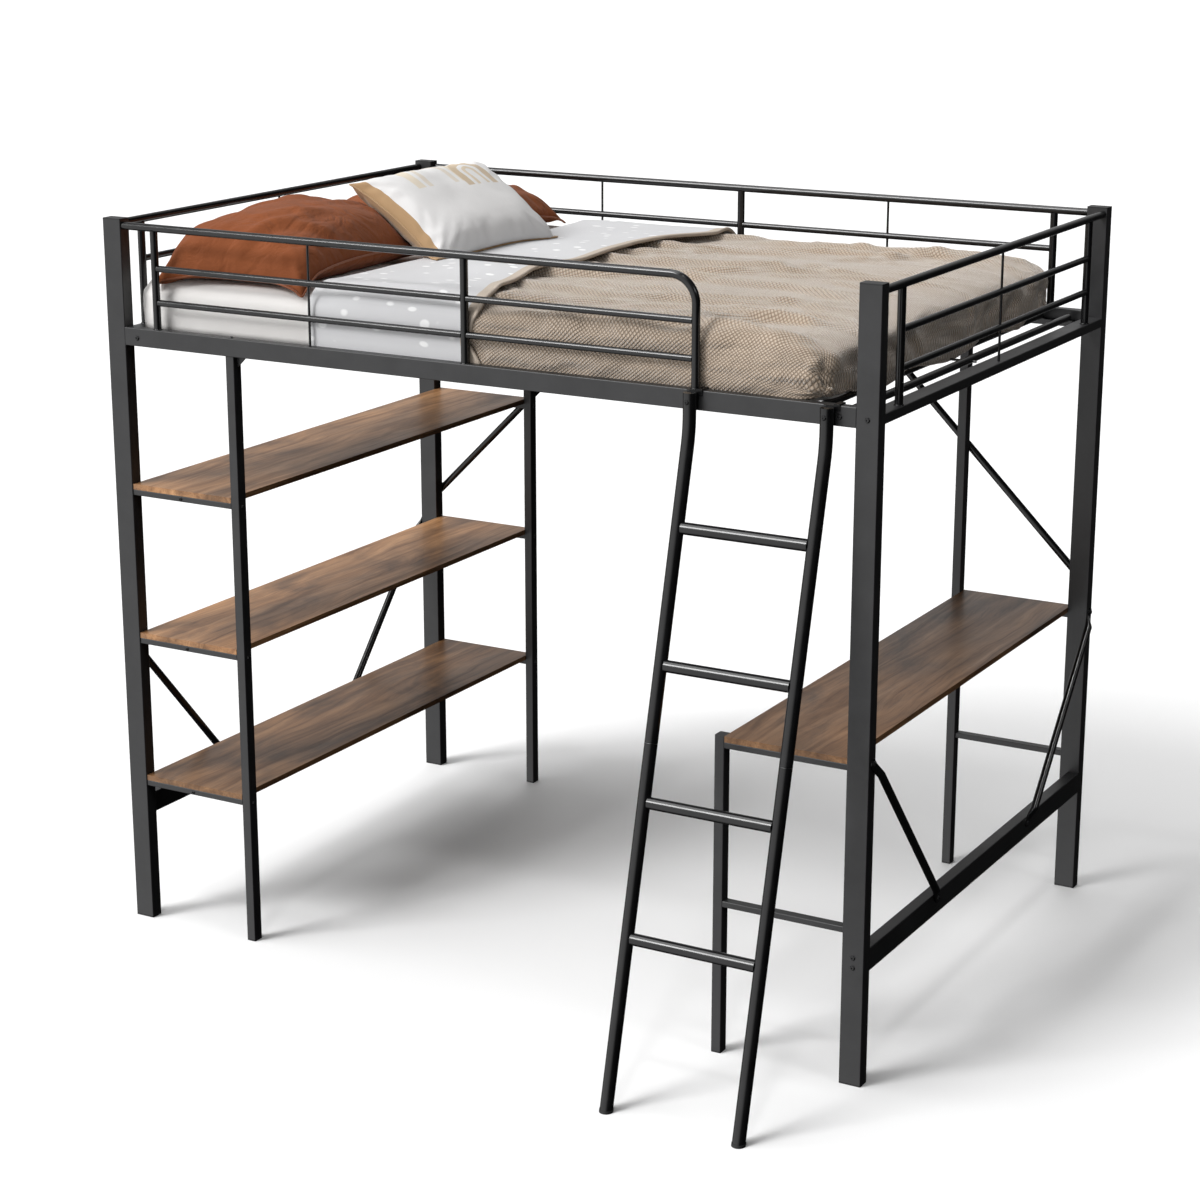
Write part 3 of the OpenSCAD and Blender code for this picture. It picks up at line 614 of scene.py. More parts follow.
class Tray:
    """a draped rectangle: a top grid with rounded edges and corners, and skirts straight down from its outline.
    q runs across the bed: front skirt from its hem up, the top, then the rear skirt down to its hem."""

    def __init__(self, x0, x1, y0, y1, ztop, zhem, step, rF=0.055, zF=0.045, rR=0.15, zR=0.058, rL=None, zL=0.05, rc=0.07, ns=7, hem_end=None):
        self.nu = int((x1 - x0) / step) + 1
        self.nv = int((y1 - y0) / step) + 1
        self.ns = ns
        nu, nv = self.nu, self.nv
        # rows across the bed bunch up a little towards the middle
        tx = np.linspace(0, 1, nu)
        ty = np.linspace(0, 1, nv)
        ty = ty - 0.055 * np.sin(2 * math.pi * ty) * -1 * 0.12
        self.Q = np.zeros((nu, ns + nv + ns, 3))
        self.E = np.zeros((nv, ns + 1, 3))
        self.A = np.zeros((nv, ns + 1, 3))
        cl = rL is not None
        hem_end = zhem if hem_end is None else hem_end
        for i in range(nu):
            for j in range(nv):
                x, y = x0 + (x1 - x0) * tx[i], y0 + (y1 - y0) * ty[j]
                dF, dR = min(y - y0, y1 - y), x1 - x
                dr = (g_drop(dF, rF, zF) ** 3 + g_drop(dR, rR, zR) ** 3 + (g_drop(x - x0, rL, zL) ** 3 if cl else 0.0)) ** (1 / 3)
                # round the plan corners
                for sx, ex in ((1, dR),) + (((-1, x - x0),) if cl else ()):
                    if ex < rc and dF < rc:
                        px, py_ = 1 - ex / rc, 1 - dF / rc
                        m = max(px, py_)
                        th = 0.0 if m == 0 else (math.pi / 4 * py_ / px if px >= py_ else math.pi / 2 - math.pi / 4 * px / py_)
                        cx = (x1 - rc) if sx > 0 else (x0 + rc)
                        sy = -1 if y < (y0 + y1) / 2 else 1
                        cy = (y0 + rc) if sy < 0 else (y1 - rc)
                        x, y = cx + sx * m * math.cos(th) * rc, cy + sy * m * math.sin(th) * rc
                self.Q[i, ns + j] = (x, y, ztop - dr)
        for i in range(nu):
            for k in range(1, ns + 1):
                for q0, q in ((ns, ns - k), (ns + nv - 1, ns + nv - 1 + k)):
                    p = self.Q[i, q0].copy()
                    hm = zhem + (hem_end - zhem) * max(0.0, (p[0] - (x1 - rc)) / rc)
                    p[2] = p[2] + (hm - p[2]) * k / ns
                    self.Q[i, q] = p
        for arr, i in ((self.E, nu - 1), (self.A, 0)):
            for j in range(nv):
                for k in range(ns + 1):
                    if j in (0, nv - 1):
                        q = ns - k if j == 0 else ns + nv - 1 + k
                        arr[j, k] = self.Q[i, q]
                    else:
                        p = self.Q[i, ns + j].copy()
                        p[2] = p[2] + (hem_end - p[2]) * k / ns
                        arr[j, k] = p
        self.closed_left = cl

    def build(self, name, mats, bottom=False, lip=0.0):
        nu, nv, ns = self.nu, self.nv, self.ns
        nq = ns + nv + ns
        verts = [tuple(p) for p in self.Q.reshape(-1, 3)]
        faces = grid_faces(nu, nq)
        fuv = []
        len_q = np.concatenate([[0], np.cumsum(np.linalg.norm(np.diff(self.Q[nu // 2], axis=0), axis=1))])
        for f in faces:
            fuv.append([(self.Q.reshape(-1, 3)[v][0], len_q[v % nq]) for v in f])
        ends = [(self.E, nu - 1, False)] + ([(self.A, 0, True)] if self.closed_left else [])
        self.hem_loop = []
        cols_all = []
        for arr, i, flip in ends:
            cols = []
            for j in range(nv):
                c = [i * nq + ns + j]
                for k in range(1, ns + 1):
                    if j == 0:
                        c.append(i * nq + ns - k)
                    elif j == nv - 1:
                        c.append(i * nq + ns + nv - 1 + k)
                    else:
                        c.append(len(verts))
                        verts.append(tuple(arr[j, k]))
                cols.append(c)
            cols_all.append(cols)
            sl = 0.0
            for j in range(nv - 1):
                d = float(np.linalg.norm(np.array(verts[cols[j + 1][0]]) - np.array(verts[cols[j][0]])))
                for k in range(ns):
                    q = [cols[j][k], cols[j][k + 1], cols[j + 1][k + 1], cols[j + 1][k]]
                    h = abs(verts[cols[j][0]][2] - verts[cols[j][ns]][2]) / ns
                    u = [(sl, -k * h), (sl, -(k + 1) * h), (sl + d, -(k + 1) * h), (sl + d, -k * h)]
                    if flip:
                        q, u = q[::-1], u[::-1]
                    faces.append(tuple(q))
                    fuv.append(u)
                sl += d
        self.cols = cols_all
        # the hem as one open or closed loop of vertex numbers
        front = [i * nq for i in range(nu)]
        end = [c[ns] for c in cols_all[0]][1:-1]
        rear = [i * nq + nq - 1 for i in range(nu - 1, -1, -1)]
        loop = front + end + rear
        if self.closed_left:
            loop += [c[ns] for c in cols_all[1]][1:-1][::-1]
        self.hem_loop = loop
        if (bottom or lip) and self.closed_left:
            V = np.array([verts[v] for v in loop])
            ctr = V.mean(0)
            prev = loop
            steps = (0.012, lip) if lip else (0.012,)
            for n_, w_ in enumerate(steps):
                cur = []
                for t_, v in enumerate(loop):
                    p = np.array(verts[v])
                    a_, b_ = V[t_ - 1], V[(t_ + 1) % len(V)]
                    tg = (b_ - a_)[:2]
                    nn = np.array([-tg[1], tg[0]]) / (np.linalg.norm(tg) + 1e-9)
                    if np.dot(nn, (ctr - p)[:2]) < 0:
                        nn = -nn
                    cur.append(len(verts))
                    verts.append((p[0] + nn[0] * w_, p[1] + nn[1] * w_, p[2] - 0.006))
                for t_ in range(len(loop)):
                    t2 = (t_ + 1) % len(loop)
                    faces.append((prev[t_], cur[t_], cur[t2], prev[t2]))
                    fuv.append([(t_ * 0.012, 0), (t_ * 0.012, w_), (t2 * 0.012, w_), (t2 * 0.012, 0)])
                prev = cur
            if bottom:
                # inner grid under the pad
                faces.append(tuple(prev[::-1]))
                fuv.append([(verts[v][0], verts[v][1]) for v in prev[::-1]])
        me_ = bpy.data.meshes.new(name)
        me_.from_pydata(verts, [], faces)
        o = bpy.data.objects.new(name, me_)
        scene.collection.objects.link(o)
        lay = me_.uv_layers.new(name="UVMap")
        for p, u in zip(me_.polygons, fuv):
            for li, w_ in zip(p.loop_indices, u):
                lay.data[li].uv = w_
            p.use_smooth = True
        for m_ in mats:
            me_.materials.append(m_)
        return o


def mm(v):
    return v / 1000.0


core_t = Tray(m_lo.x + 0.003, m_hi.x - 0.003, m_lo.y + 0.003, m_hi.y - 0.003, mz1 - 0.003, mz0 + 0.006, 0.024, rF=0.06, zF=0.034, rR=0.15, zR=0.052, rL=0.075, zL=0.034, rc=0.06)
matt = core_t.build("mattress_core", [ticking.mat], bottom=True)
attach(matt, "mattress")
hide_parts("mattress")

sh_t = Tray(m_lo.x, m_hi.x, m_lo.y, m_hi.y, mz1 - 0.0005, mz0 + 0.004, 0.013, rF=0.062, zF=0.036, rR=0.15, zR=0.053, rL=0.077, zL=0.036, rc=0.063)
sh = sh_t.build("fitted_sheet", [sheet_m.mat], lip=0.05)
a = coords(sh)
me_ = sh.data
nr = np.zeros(len(me_.vertices) * 3)
me_.vertices.foreach_get("normal", nr)
nr = nr.reshape(-1, 3)
for i, p in enumerate(a):
    x, y, z = p
    if z < mz0 + 0.001:
        continue
    ex = min(x - m_lo.x, m_hi.x - x)
    ey = min(y - m_lo.y, m_hi.y - y)
    hz = (z - mz0) / (mz1 - mz0)
    under = min(1.0, max(0.0, (X0 + 0.56 - x) / 0.10))
    rid = max(0.0, nz(x * 0.5 + y * 0.9, y * 1.2 - x * 0.3, 0, 6.0, 9.0)) ** 1.4 * 0.008 * under
    cr = math.exp(-((ex + ey) / 0.24) ** 2)
    pull = cr * 0.0035 * math.sin(60 * (abs(x - m_lo.x) - abs(y - m_lo.y)) + 25 * z)
    along = x if abs(nr[i, 1]) > abs(nr[i, 0]) else y
    sidew = 0.0028 * math.sin(19 * along + 11 * z + 2.4 * math.sin(along * 5)) * (1 - abs(nr[i, 2])) * math.sin(math.pi * min(max(hz, 0), 1))
    w = 0.0012 * nz(x, y, z * 3, 11.0, 5.0)
    d = max(-0.0005, rid * abs(nr[i, 2]) + pull * (0.3 + 0.7 * under) + sidew + w) + 0.0012
    if x > X0 + 0.58:
        d = min(d, 0.0018)
    a[i] = p + nr[i] * d
set_coords(sh, a)
sh.data.update()
sol = sh.modifiers.new("thick", "SOLIDIFY")
sol.thickness = 0.0012
sol.offset = 1
apply_all(sh)
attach(sh, "mattress")

# ---------------------------------------------------------------- comforter
QX0 = X0 + 0.598
QX1 = X0 + 1.9385
STEP = 0.0128
z_hem = RAIL_TOP - 0.0065
qt = Tray(QX0, QX1, Y0 + 0.0365, Y0 + BED_W - 0.0365, mz1 + 0.0065, z_hem, STEP, rF=0.060, zF=0.038, rR=0.160, zR=0.060, rc=0.075, ns=8, hem_end=RAIL_TOP + 0.004)
NU, NV, NS = qt.nu, qt.nv, qt.ns
NQ = NS + NV + NS
quilt = qt.build("quilt_sim", [])
base_all = coords(quilt).copy()
mid_y = Y0 + BED_W / 2


def seed_fold(x, y):
    d = (x - X0) * 0.42 + (y - Y0) * 0.91
    e = (x - X0) * 0.91 - (y - Y0) * 0.42
    return nz(d * 3.1, e * 0.8, 0, 2.0, 4.0) + 0.5 * nz(d * 6.5 + e, e * 1.7, 0, 2.0, 8.0)


a = coords(quilt)
amp = 0.006
for i, p in enumerate(a):
    up = min(1.0, max(0.0, (p[2] - (mz1 - 0.03)) / 0.03))
    a[i, 2] += up * (0.003 + amp * max(0.0, seed_fold(p[0], p[1])))
# the hem at the foot end rises and falls
for j, c in enumerate(qt.cols[0]):
    wv = 0.011 * math.sin(j * 0.21) + 0.008 * nz(j * 0.09, 1.3, 0, 1.0, 2.0)
    for k in range(1, NS + 1):
        edge = min(1.0, min(j, NV - 1 - j) / 6.0)
        a[c[k], 2] += wv * (k / NS) ** 1.5 * edge
        a[c[k], 0] += 0.003 * math.sin(j * 0.33 + k * 0.2) * (k / NS) * edge
set_coords(quilt, a)
def wall(name, c, s):
    b = bmesh.new()
    bmesh.ops.create_cube(b, size=1.0)
    for v_ in b.verts:
        v_.co = Vector((v_.co.x * s[0] + c[0], v_.co.y * s[1] + c[1], v_.co.z * s[2] + c[2]))
    m2 = bpy.data.meshes.new(name)
    b.to_mesh(m2)
    b.free()
    o_ = bpy.data.objects.new(name, m2)
    scene.collection.objects.link(o_)
    return o_

wf = wall("wall_front", W(1200, 13, 1680), (2.4, 0.020, 0.4))
wb = wall("wall_back", W(1200, BED_W * 1000 - 13, 1680), (2.4, 0.020, 0.4))
core = Tray(m_lo.x, m_hi.x, m_lo.y, m_hi.y, mz1, mz0 + 0.002, 0.03, rF=0.062, zF=0.036, rR=0.15, zR=0.054, rL=0.077, zL=0.036, rc=0.063).build("core_sim", [], bottom=True)
vg = quilt.vertex_groups.new(name="pin")
pinw = {}
for i in range(NU):
    for q in range(NQ):
        w = 0.0
        if q in (0, NQ - 1):
            w = 1.0
        elif q in (1, NQ - 2):
            w = 0.5
        if i == 0:
            w = max(w, 0.8)
        if w:
            pinw[i * NQ + q] = w
for j, c in enumerate(qt.cols[0]):
    pinw[c[NS]] = max(pinw.get(c[NS], 0), 0.7)
for v_, w in pinw.items():
    vg.add([v_], w, "REPLACE")
run_cloth(quilt, 32, [core, wf, wb], pin="pin", shrink=-0.04, gravity=0.9, quality=6, mass=0.35, tension=12, bend=1.2, dist=0.004, air=2.0)
for o_ in (wf, wb, core):
    bpy.data.objects.remove(o_)

def creases(cu, cv, n, box, ang, spread, length, sig, amp_, seed):
    """long soft creases, each a bent ridge beside a shallow valley, in the cloth's own coordinates"""
    r_ = random.Random(seed)
    h_ = np.zeros_like(cu)
    for _ in range(n):
        cx, cy = r_.uniform(box[0], box[1]), r_.uniform(box[2], box[3])
        th = math.radians(ang + r_.uniform(-spread, spread))
        L = r_.uniform(*length)
        sg = r_.uniform(*sig)
        A = r_.uniform(0.55, 1.0) * amp_
        kap = r_.uniform(-0.9, 0.9)
        dx, dy = cu - cx, cv - cy
        s_ = dx * math.cos(th) + dy * math.sin(th)
        t_ = -dx * math.sin(th) + dy * math.cos(th) - kap * s_ ** 2 - 0.010 * np.sin(s_ * 23 + seed)
        win = np.clip(1 - (2 * s_ / L) ** 2, 0, 1) ** 0.8
        side = np.where(t_ > 0, 1.9, 0.85)
        h_ += A * win * (np.exp(-(t_ / (sg * side)) ** 2) - 0.40 * np.exp(-((t_ + 1.9 * sg) / sg) ** 2))
    return h_


# the cloth's own coordinates of every vertex: along the bed, and round the section
sec0 = base_all[:NU * NQ].reshape(NU, NQ, 3)[8]
vs = np.concatenate([[0], np.cumsum(np.linalg.norm(np.diff(sec0, axis=0), axis=1))])
cu = np.zeros(len(base_all))
cv = np.zeros(len(base_all))
for i in range(NU):
    cu[i * NQ:(i + 1) * NQ] = sec0[0, 0] * 0 + QX0 + (QX1 - QX0) * i / (NU - 1)
    cv[i * NQ:(i + 1) * NQ] = vs
for j, c in enumerate(qt.cols[0]):
    if 0 < j < NV - 1:
        for k in range(1, NS + 1):
            cu[c[k]] = QX1 + 0.0135 * k
            cv[c[k]] = vs[NS + j]
quilt.data.update()
nr = np.zeros(len(quilt.data.vertices) * 3)
quilt.data.vertices.foreach_get("normal", nr)
nr = nr.reshape(-1, 3)
xq = cu - X0
hh = creases(xq, cv, 22, (0.80, 1.90, 0.15, 1.40), 12, 24, (0.40, 1.10), (0.012, 0.022), 0.0200, 11)
hh += creases(xq, cv, 24, (0.95, 1.95, 0.12, 1.42), -24, 36, (0.16, 0.42), (0.008, 0.014), 0.0095, 23)
hh += creases(xq, cv, 17, (1.12, 1.90, 0.015, 0.16), 4, 9, (0.30, 0.75), (0.011, 0.018), 0.0185, 5)
hh += creases(xq, cv, 12, (1.84, 2.03, 0.10, 1.45), 62, 26, (0.14, 0.32), (0.009, 0.014), 0.0080, 31)
broad = np.array([max(0.0, nz(cu[i] * 0.6 + cv[i] * 0.5, cv[i] - cu[i] * 0.2, 0, 3.2, 14.0)) for i in range(len(cu))]) * 0.012
edge_in = np.clip((cu - QX0) / 0.05, 0.15, 1.0)
pin_s = np.clip(np.minimum(cv, vs[-1] - cv) / 0.05, 0.25, 1.0)
pin_e = np.clip((QX1 + 0.0135 * NS - cu) / 0.05, 0.35, 1.0)
onside = 1 - np.abs(nr[:, 2])
disp = (hh * (1 - 0.35 * onside) + broad * (1 - onside)) * edge_in * pin_s * pin_e
disp = np.where(onside > 0.5, np.clip(disp, -0.002, 0.0088), np.clip(disp, -0.004, 0.026))
a = coords(quilt) + nr * disp[:, None]
# keep the cloth inside the guards and off the mattress
a[:, 1] = np.clip(a[:, 1], Y0 + 0.0265, Y0 + BED_W - 0.0265)
a[:, 0] = np.minimum(a[:, 0], X0 + 1.9475)
for i, p in enumerate(a):
    b0 = base_all[i]
    # never sink below the resting shape
    if b0[2] > mz1 - 0.07:
        a[i, 2] = max(a[i, 2], b0[2] - 0.0005)
    a[i, 1] = min(a[i, 1], b0[1] + 0.002) if b0[1] < Y0 + 0.06 else (max(a[i, 1], b0[1] - 0.002) if b0[1] > Y0 + BED_W - 0.06 else a[i, 1])
    if b0[0] > QX1 - 0.02:
        a[i, 0] = max(a[i, 0], b0[0] - 0.002)
set_coords(quilt, a)
ALL = a.copy()
Q = a[:NU * NQ].reshape(NU, NQ, 3)
quilt_uv = [[tuple(quilt.data.uv_layers[0].data[li].uv) for li in p.loop_indices] for p in quilt.data.polygons]
quilt_faces = [tuple(p.vertices) for p in quilt.data.polygons]
bpy.data.objects.remove(quilt)


def smooth2(A, n):
    for _ in range(n):
        B = A.copy()
        B[1:-1] = (A[:-2] + 2 * A[1:-1] + A[2:]) / 4
        A = B.copy()
        A[:, 1:-1] = (B[:, :-2] + 2 * B[:, 1:-1] + B[:, 2:]) / 4
    return A


# the part folded back on top: its reverse side up, over the smoothed quilt
base_Q = base_all[:NU * NQ].reshape(NU, NQ, 3)
sec = base_Q[8]
hem_x = X0 + np.interp(vs * 1000, [0, 46, 76, 130, 200, 330, 520, 780, 1030, 1200, 1320, 1440, 1600], [1071, 1042, 1044, 1066, 1050, 992, 958, 952, 957, 1000, 1035, 1030, 1030]) / 1000
ND = int(0.46 / STEP) + 1
Qs = smooth2(Q, 8)
# on the flat top the folded part bridges the creases below
Qb = smooth2(Q, 60)
mk_ = np.clip((np.minimum(sec[:, 1] - Y0, Y0 + BED_W - sec[:, 1]) - 0.10) / 0.08, 0, 1)
Qs[:, :, 2] = Qs[:, :, 2] * (1 - mk_) + Qb[:, :, 2] * mk_
nrm_q = np.zeros((NQ, 3))
for q in range(NQ):
    q0, q1 = max(q - 2, 0), min(q + 2, NQ - 1)
    t = sec[q1] - sec[q0]
    n_ = np.array([0, -t[2], t[1]])
    nrm_q[q] = n_ / (np.linalg.norm(n_) + 1e-9)
F = np.zeros((ND, NQ, 3))
S_ = np.zeros((ND, NQ, 3))
need = np.zeros((ND, NQ))
want = np.zeros((ND, NQ))
for k in range(ND):
    t = k / (ND - 1)
    for q in range(NQ):
        xx = QX0 + (hem_x[q] - QX0) * t
        u = (xx - QX0) / (QX1 - QX0) * (NU - 1)
        i0 = int(min(max(u, 0), NU - 2))
        fr = u - i0
        sm = Qs[i0, q] * (1 - fr) + Qs[i0 + 1, q] * fr
        raw = Q[i0, q] * (1 - fr) + Q[i0 + 1, q] * fr
        flat = abs(nrm_q[q][2])
        puff = 0.0085 + 0.006 * max(0.0, nz(xx, vs[q], 0, 4.0, 12.0)) + 0.005 * nz(xx * 1.6, vs[q] * 1.1, 0, 7.0, 31.0)
        lift = 0.0045 * t ** 4 * (0.4 + 0.9 * max(0.0, nz(vs[q], 0.3, 0, 3.0, 21.0)))
        want[k, q] = (puff + lift) * flat + (0.0085 + 0.0015 * nz(xx, vs[q], 0, 14.0, 3.0) + 0.003 * t ** 4) * (1 - flat)
        need[k, q] = float(np.dot(raw - sm, nrm_q[q])) + 0.0072
        S_[k, q] = (xx, sm[1], sm[2])


def spread_max(A, rk, rq):
    B = A.copy()
    for dk in range(-rk, rk + 1):
        for dq in range(-rq, rq + 1):
            C_ = np.roll(np.roll(A, dk, 0), dq, 1)
            if dk > 0:
                C_[:dk] = A[:dk]
            if dk < 0:
                C_[dk:] = A[dk:]
            if dq > 0:
                C_[:, :dq] = A[:, :dq]
            if dq < 0:
                C_[:, dq:] = A[:, dq:]
            B = np.maximum(B, C_)
    return B


offs = np.maximum(want, spread_max(need, 4, 7))
offs = smooth2(offs, 26)
offs = np.maximum(offs, need - 0.002)
for k in range(ND):
    for q in range(NQ):
        p = S_[k, q] + nrm_q[q] * offs[k, q]
        F[k, q] = [S_[k, q][0], min(max(p[1], Y0 + 0.0252), Y0 + BED_W - 0.0252), p[2]]
NB = 5
rows = [F[k] for k in range(ND - 1, -1, -1)]
for b_ in range(1, NB + 1):
    t = b_ / (NB + 1)
    mid = F[0] * (1 - t) + Q[0] * t
    gap = np.linalg.norm(F[0] - Q[0], axis=1)
    bul = np.zeros_like(mid)
    bul[:, 0] = -np.sin(math.pi * t) * (gap * 0.55 + 0.003)
    rows.append(mid + bul)
G = np.array(rows)
NG = len(G)
verts = [tuple(p) for p in ALL] + [tuple(p) for p in G.reshape(-1, 3)]
off0 = len(ALL)
faces = list(quilt_faces)
fuv = list(quilt_uv)
du = np.concatenate([[0], np.cumsum(np.linalg.norm(np.diff(G[:, NQ // 2], axis=0), axis=1))])
gu = du - du[-1] - STEP


def gidx(r, q):
    return off0 + r * NQ + q if r < NG else q


for r in range(NG):
    for q in range(NQ - 1):
        faces.append((gidx(r, q), gidx(r + 1, q), gidx(r + 1, q + 1), gidx(r, q + 1)))
        u0, u1 = gu[r], (gu[r + 1] if r + 1 < NG else 0.0)
        fuv.append([(u0, vs[q]), (u1, vs[q]), (u1, vs[q + 1]), (u0, vs[q + 1])])

comf_out = m_cloth("comforter_outer", (0.60, 0.495, 0.395), (0.24, 0.172, 0.118), 0.0015, waffle=0.0070, sheen=1.0, wrinkle=0.12, rough=0.88, blotch=0.10, bump=0.5, scale_b=4, fuzz=0.15)
comf_out.b.inputs["Sheen Roughness"].default_value = 0.38
# long soft folds: lengthwise on the top, near level on the drop
fo_ = comf_out.n("ShaderNodeMapping")
fo_.inputs["Rotation"].default_value = (0, 0.10, 0.22)
fo_.inputs["Scale"].default_value = (1.1, 4.4, 11.0)
comf_out.link(comf_out.tc.outputs["Object"], fo_.inputs["Vector"])
fn_ = comf_out.noise(fo_.outputs["Vector"], 1.0, 2, 0.45, 0.9)
fr_ = comf_out.maprange(fn_, 0.30, 0.70, 0.0, 1.0)
nl_ = comf_out.b.inputs["Normal"].links[0]
prev_ = nl_.from_socket
comf_out.mat.node_tree.links.remove(nl_)
comf_out.set(Normal=comf_out.bump(fr_, 0.55, 0.026, prev_))
comf_out.b.inputs["Sheen Tint"].default_value = (1.0, 0.97, 0.94, 1)
# reverse: pale cotton with small scattered oval marks
rv = NT("comforter_reverse")
uvv = rv.tc.outputs["UV"]
mp = rv.n("ShaderNodeMapping")
mp.inputs["Scale"].default_value = (19, 27, 1)
mp.inputs["Rotation"].default_value = (0, 0, 0.35)
rv.link(uvv, mp.inputs["Vector"])
vo = rv.n("ShaderNodeTexVoronoi", feature="F1")
vo.inputs["Scale"].default_value = 1.0
vo.inputs["Randomness"].default_value = 0.6
rv.link(mp.outputs["Vector"], vo.inputs["Vector"])
mark = rv.ramp(vo.outputs["Distance"], [(0.0, (1, 1, 1)), (0.17, (1, 1, 1)), (0.24, (0, 0, 0))])
h, _, _ = weave_height(rv, uvv, 1 / 0.0012, 1 / 0.0012)
fibr = rv.noise(rv.tc.outputs["Object"], 700, 3, 0.7)
blot = rv.noise(rv.tc.outputs["Object"], 5, 4, 0.6)
ground = rv.mix(rv.maprange(blot, 0.3, 0.7, 0, 0.5), (0.57, 0.57, 0.58), (0.63, 0.63, 0.64))
colr = rv.mix(mark, ground, (0.82, 0.82, 0.82))
rv.set(Base_Color=rv.mix(rv.maprange(fibr, 0.4, 0.8, 0, 0.12), colr, (0.50, 0.50, 0.51)), Roughness=0.88, Normal=rv.bump(rv.math("ADD", h, fibr), 0.2, 0.0006))
rv.b.inputs["Sheen Weight"].default_value = 0.15
rv.b.inputs["Specular IOR Level"].default_value = 0.2
bind = m_cloth("comforter_binding", (0.56, 0.485, 0.41), (0.36, 0.29, 0.22), 0.001, sheen=0.1, bump=0.4)

me_ = bpy.data.meshes.new("comforter_quilt")
me_.from_pydata(verts, [], faces)
comf = bpy.data.objects.new("comforter_quilt", me_)
scene.collection.objects.link(comf)
lay = me_.uv_layers.new(name="UVMap")
for p, u in zip(me_.polygons, fuv):
    for li, w_ in zip(p.loop_indices, u):
        lay.data[li].uv = w_
    p.use_smooth = True
for m_ in (comf_out.mat, rv.mat, bind.mat):
    me_.materials.append(m_)
nf0 = len(quilt_faces)
for r in range(2):
    for q in range(NQ - 1):
        me_.polygons[nf0 + r * (NQ - 1) + q].material_index = 1
sub = comf.modifiers.new("sub", "SUBSURF")
sub.levels = sub.render_levels = 1
sol = comf.modifiers.new("thick", "SOLIDIFY")
sol.thickness = 0.0044
sol.offset = 0.0
sol.material_offset = 1
sol.material_offset_rim = 2
apply_all(comf)
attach(comf, "mattress")
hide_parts("comforter")


def tube_along(name, pts, r, mats, body, sides=8, closed=False):
    """round bead along a polyline"""
    pts = [Vector(p) for p in pts]
    n = len(pts)
    verts, faces = [], []
    for i, p in enumerate(pts):
        a_ = pts[(i - 1) % n] if (closed or i > 0) else pts[i]
        b_ = pts[(i + 1) % n] if (closed or i < n - 1) else pts[i]
        t = (b_ - a_).normalized()
        u = t.cross(Vector((0, 0, 1)))
        if u.length < 1e-3:
            u = t.cross(Vector((1, 0, 0)))
        u.normalize()
        w = t.cross(u).normalized()
        for k in range(sides):
            an = 2 * math.pi * k / sides
            verts.append(p + (u * math.cos(an) + w * math.sin(an)) * r)
    m_ = n if closed else n - 1
    for i in range(m_):
        for k in range(sides):
            i2 = (i + 1) % n
            faces.append((i * sides + k, i * sides + (k + 1) % sides, i2 * sides + (k + 1) % sides, i2 * sides + k))
    if not closed:
        faces.append(tuple(range(sides))[::-1])
        faces.append(tuple((n - 1) * sides + k for k in range(sides)))
    o = add_object(name, verts, faces, None, mats)
    box_uv(o)
    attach(o, body)
    return o


hem = tube_along("comforter_hem", [F[ND - 1, q] for q in range(NQ)], 0.0052, [bind.mat], "mattress")


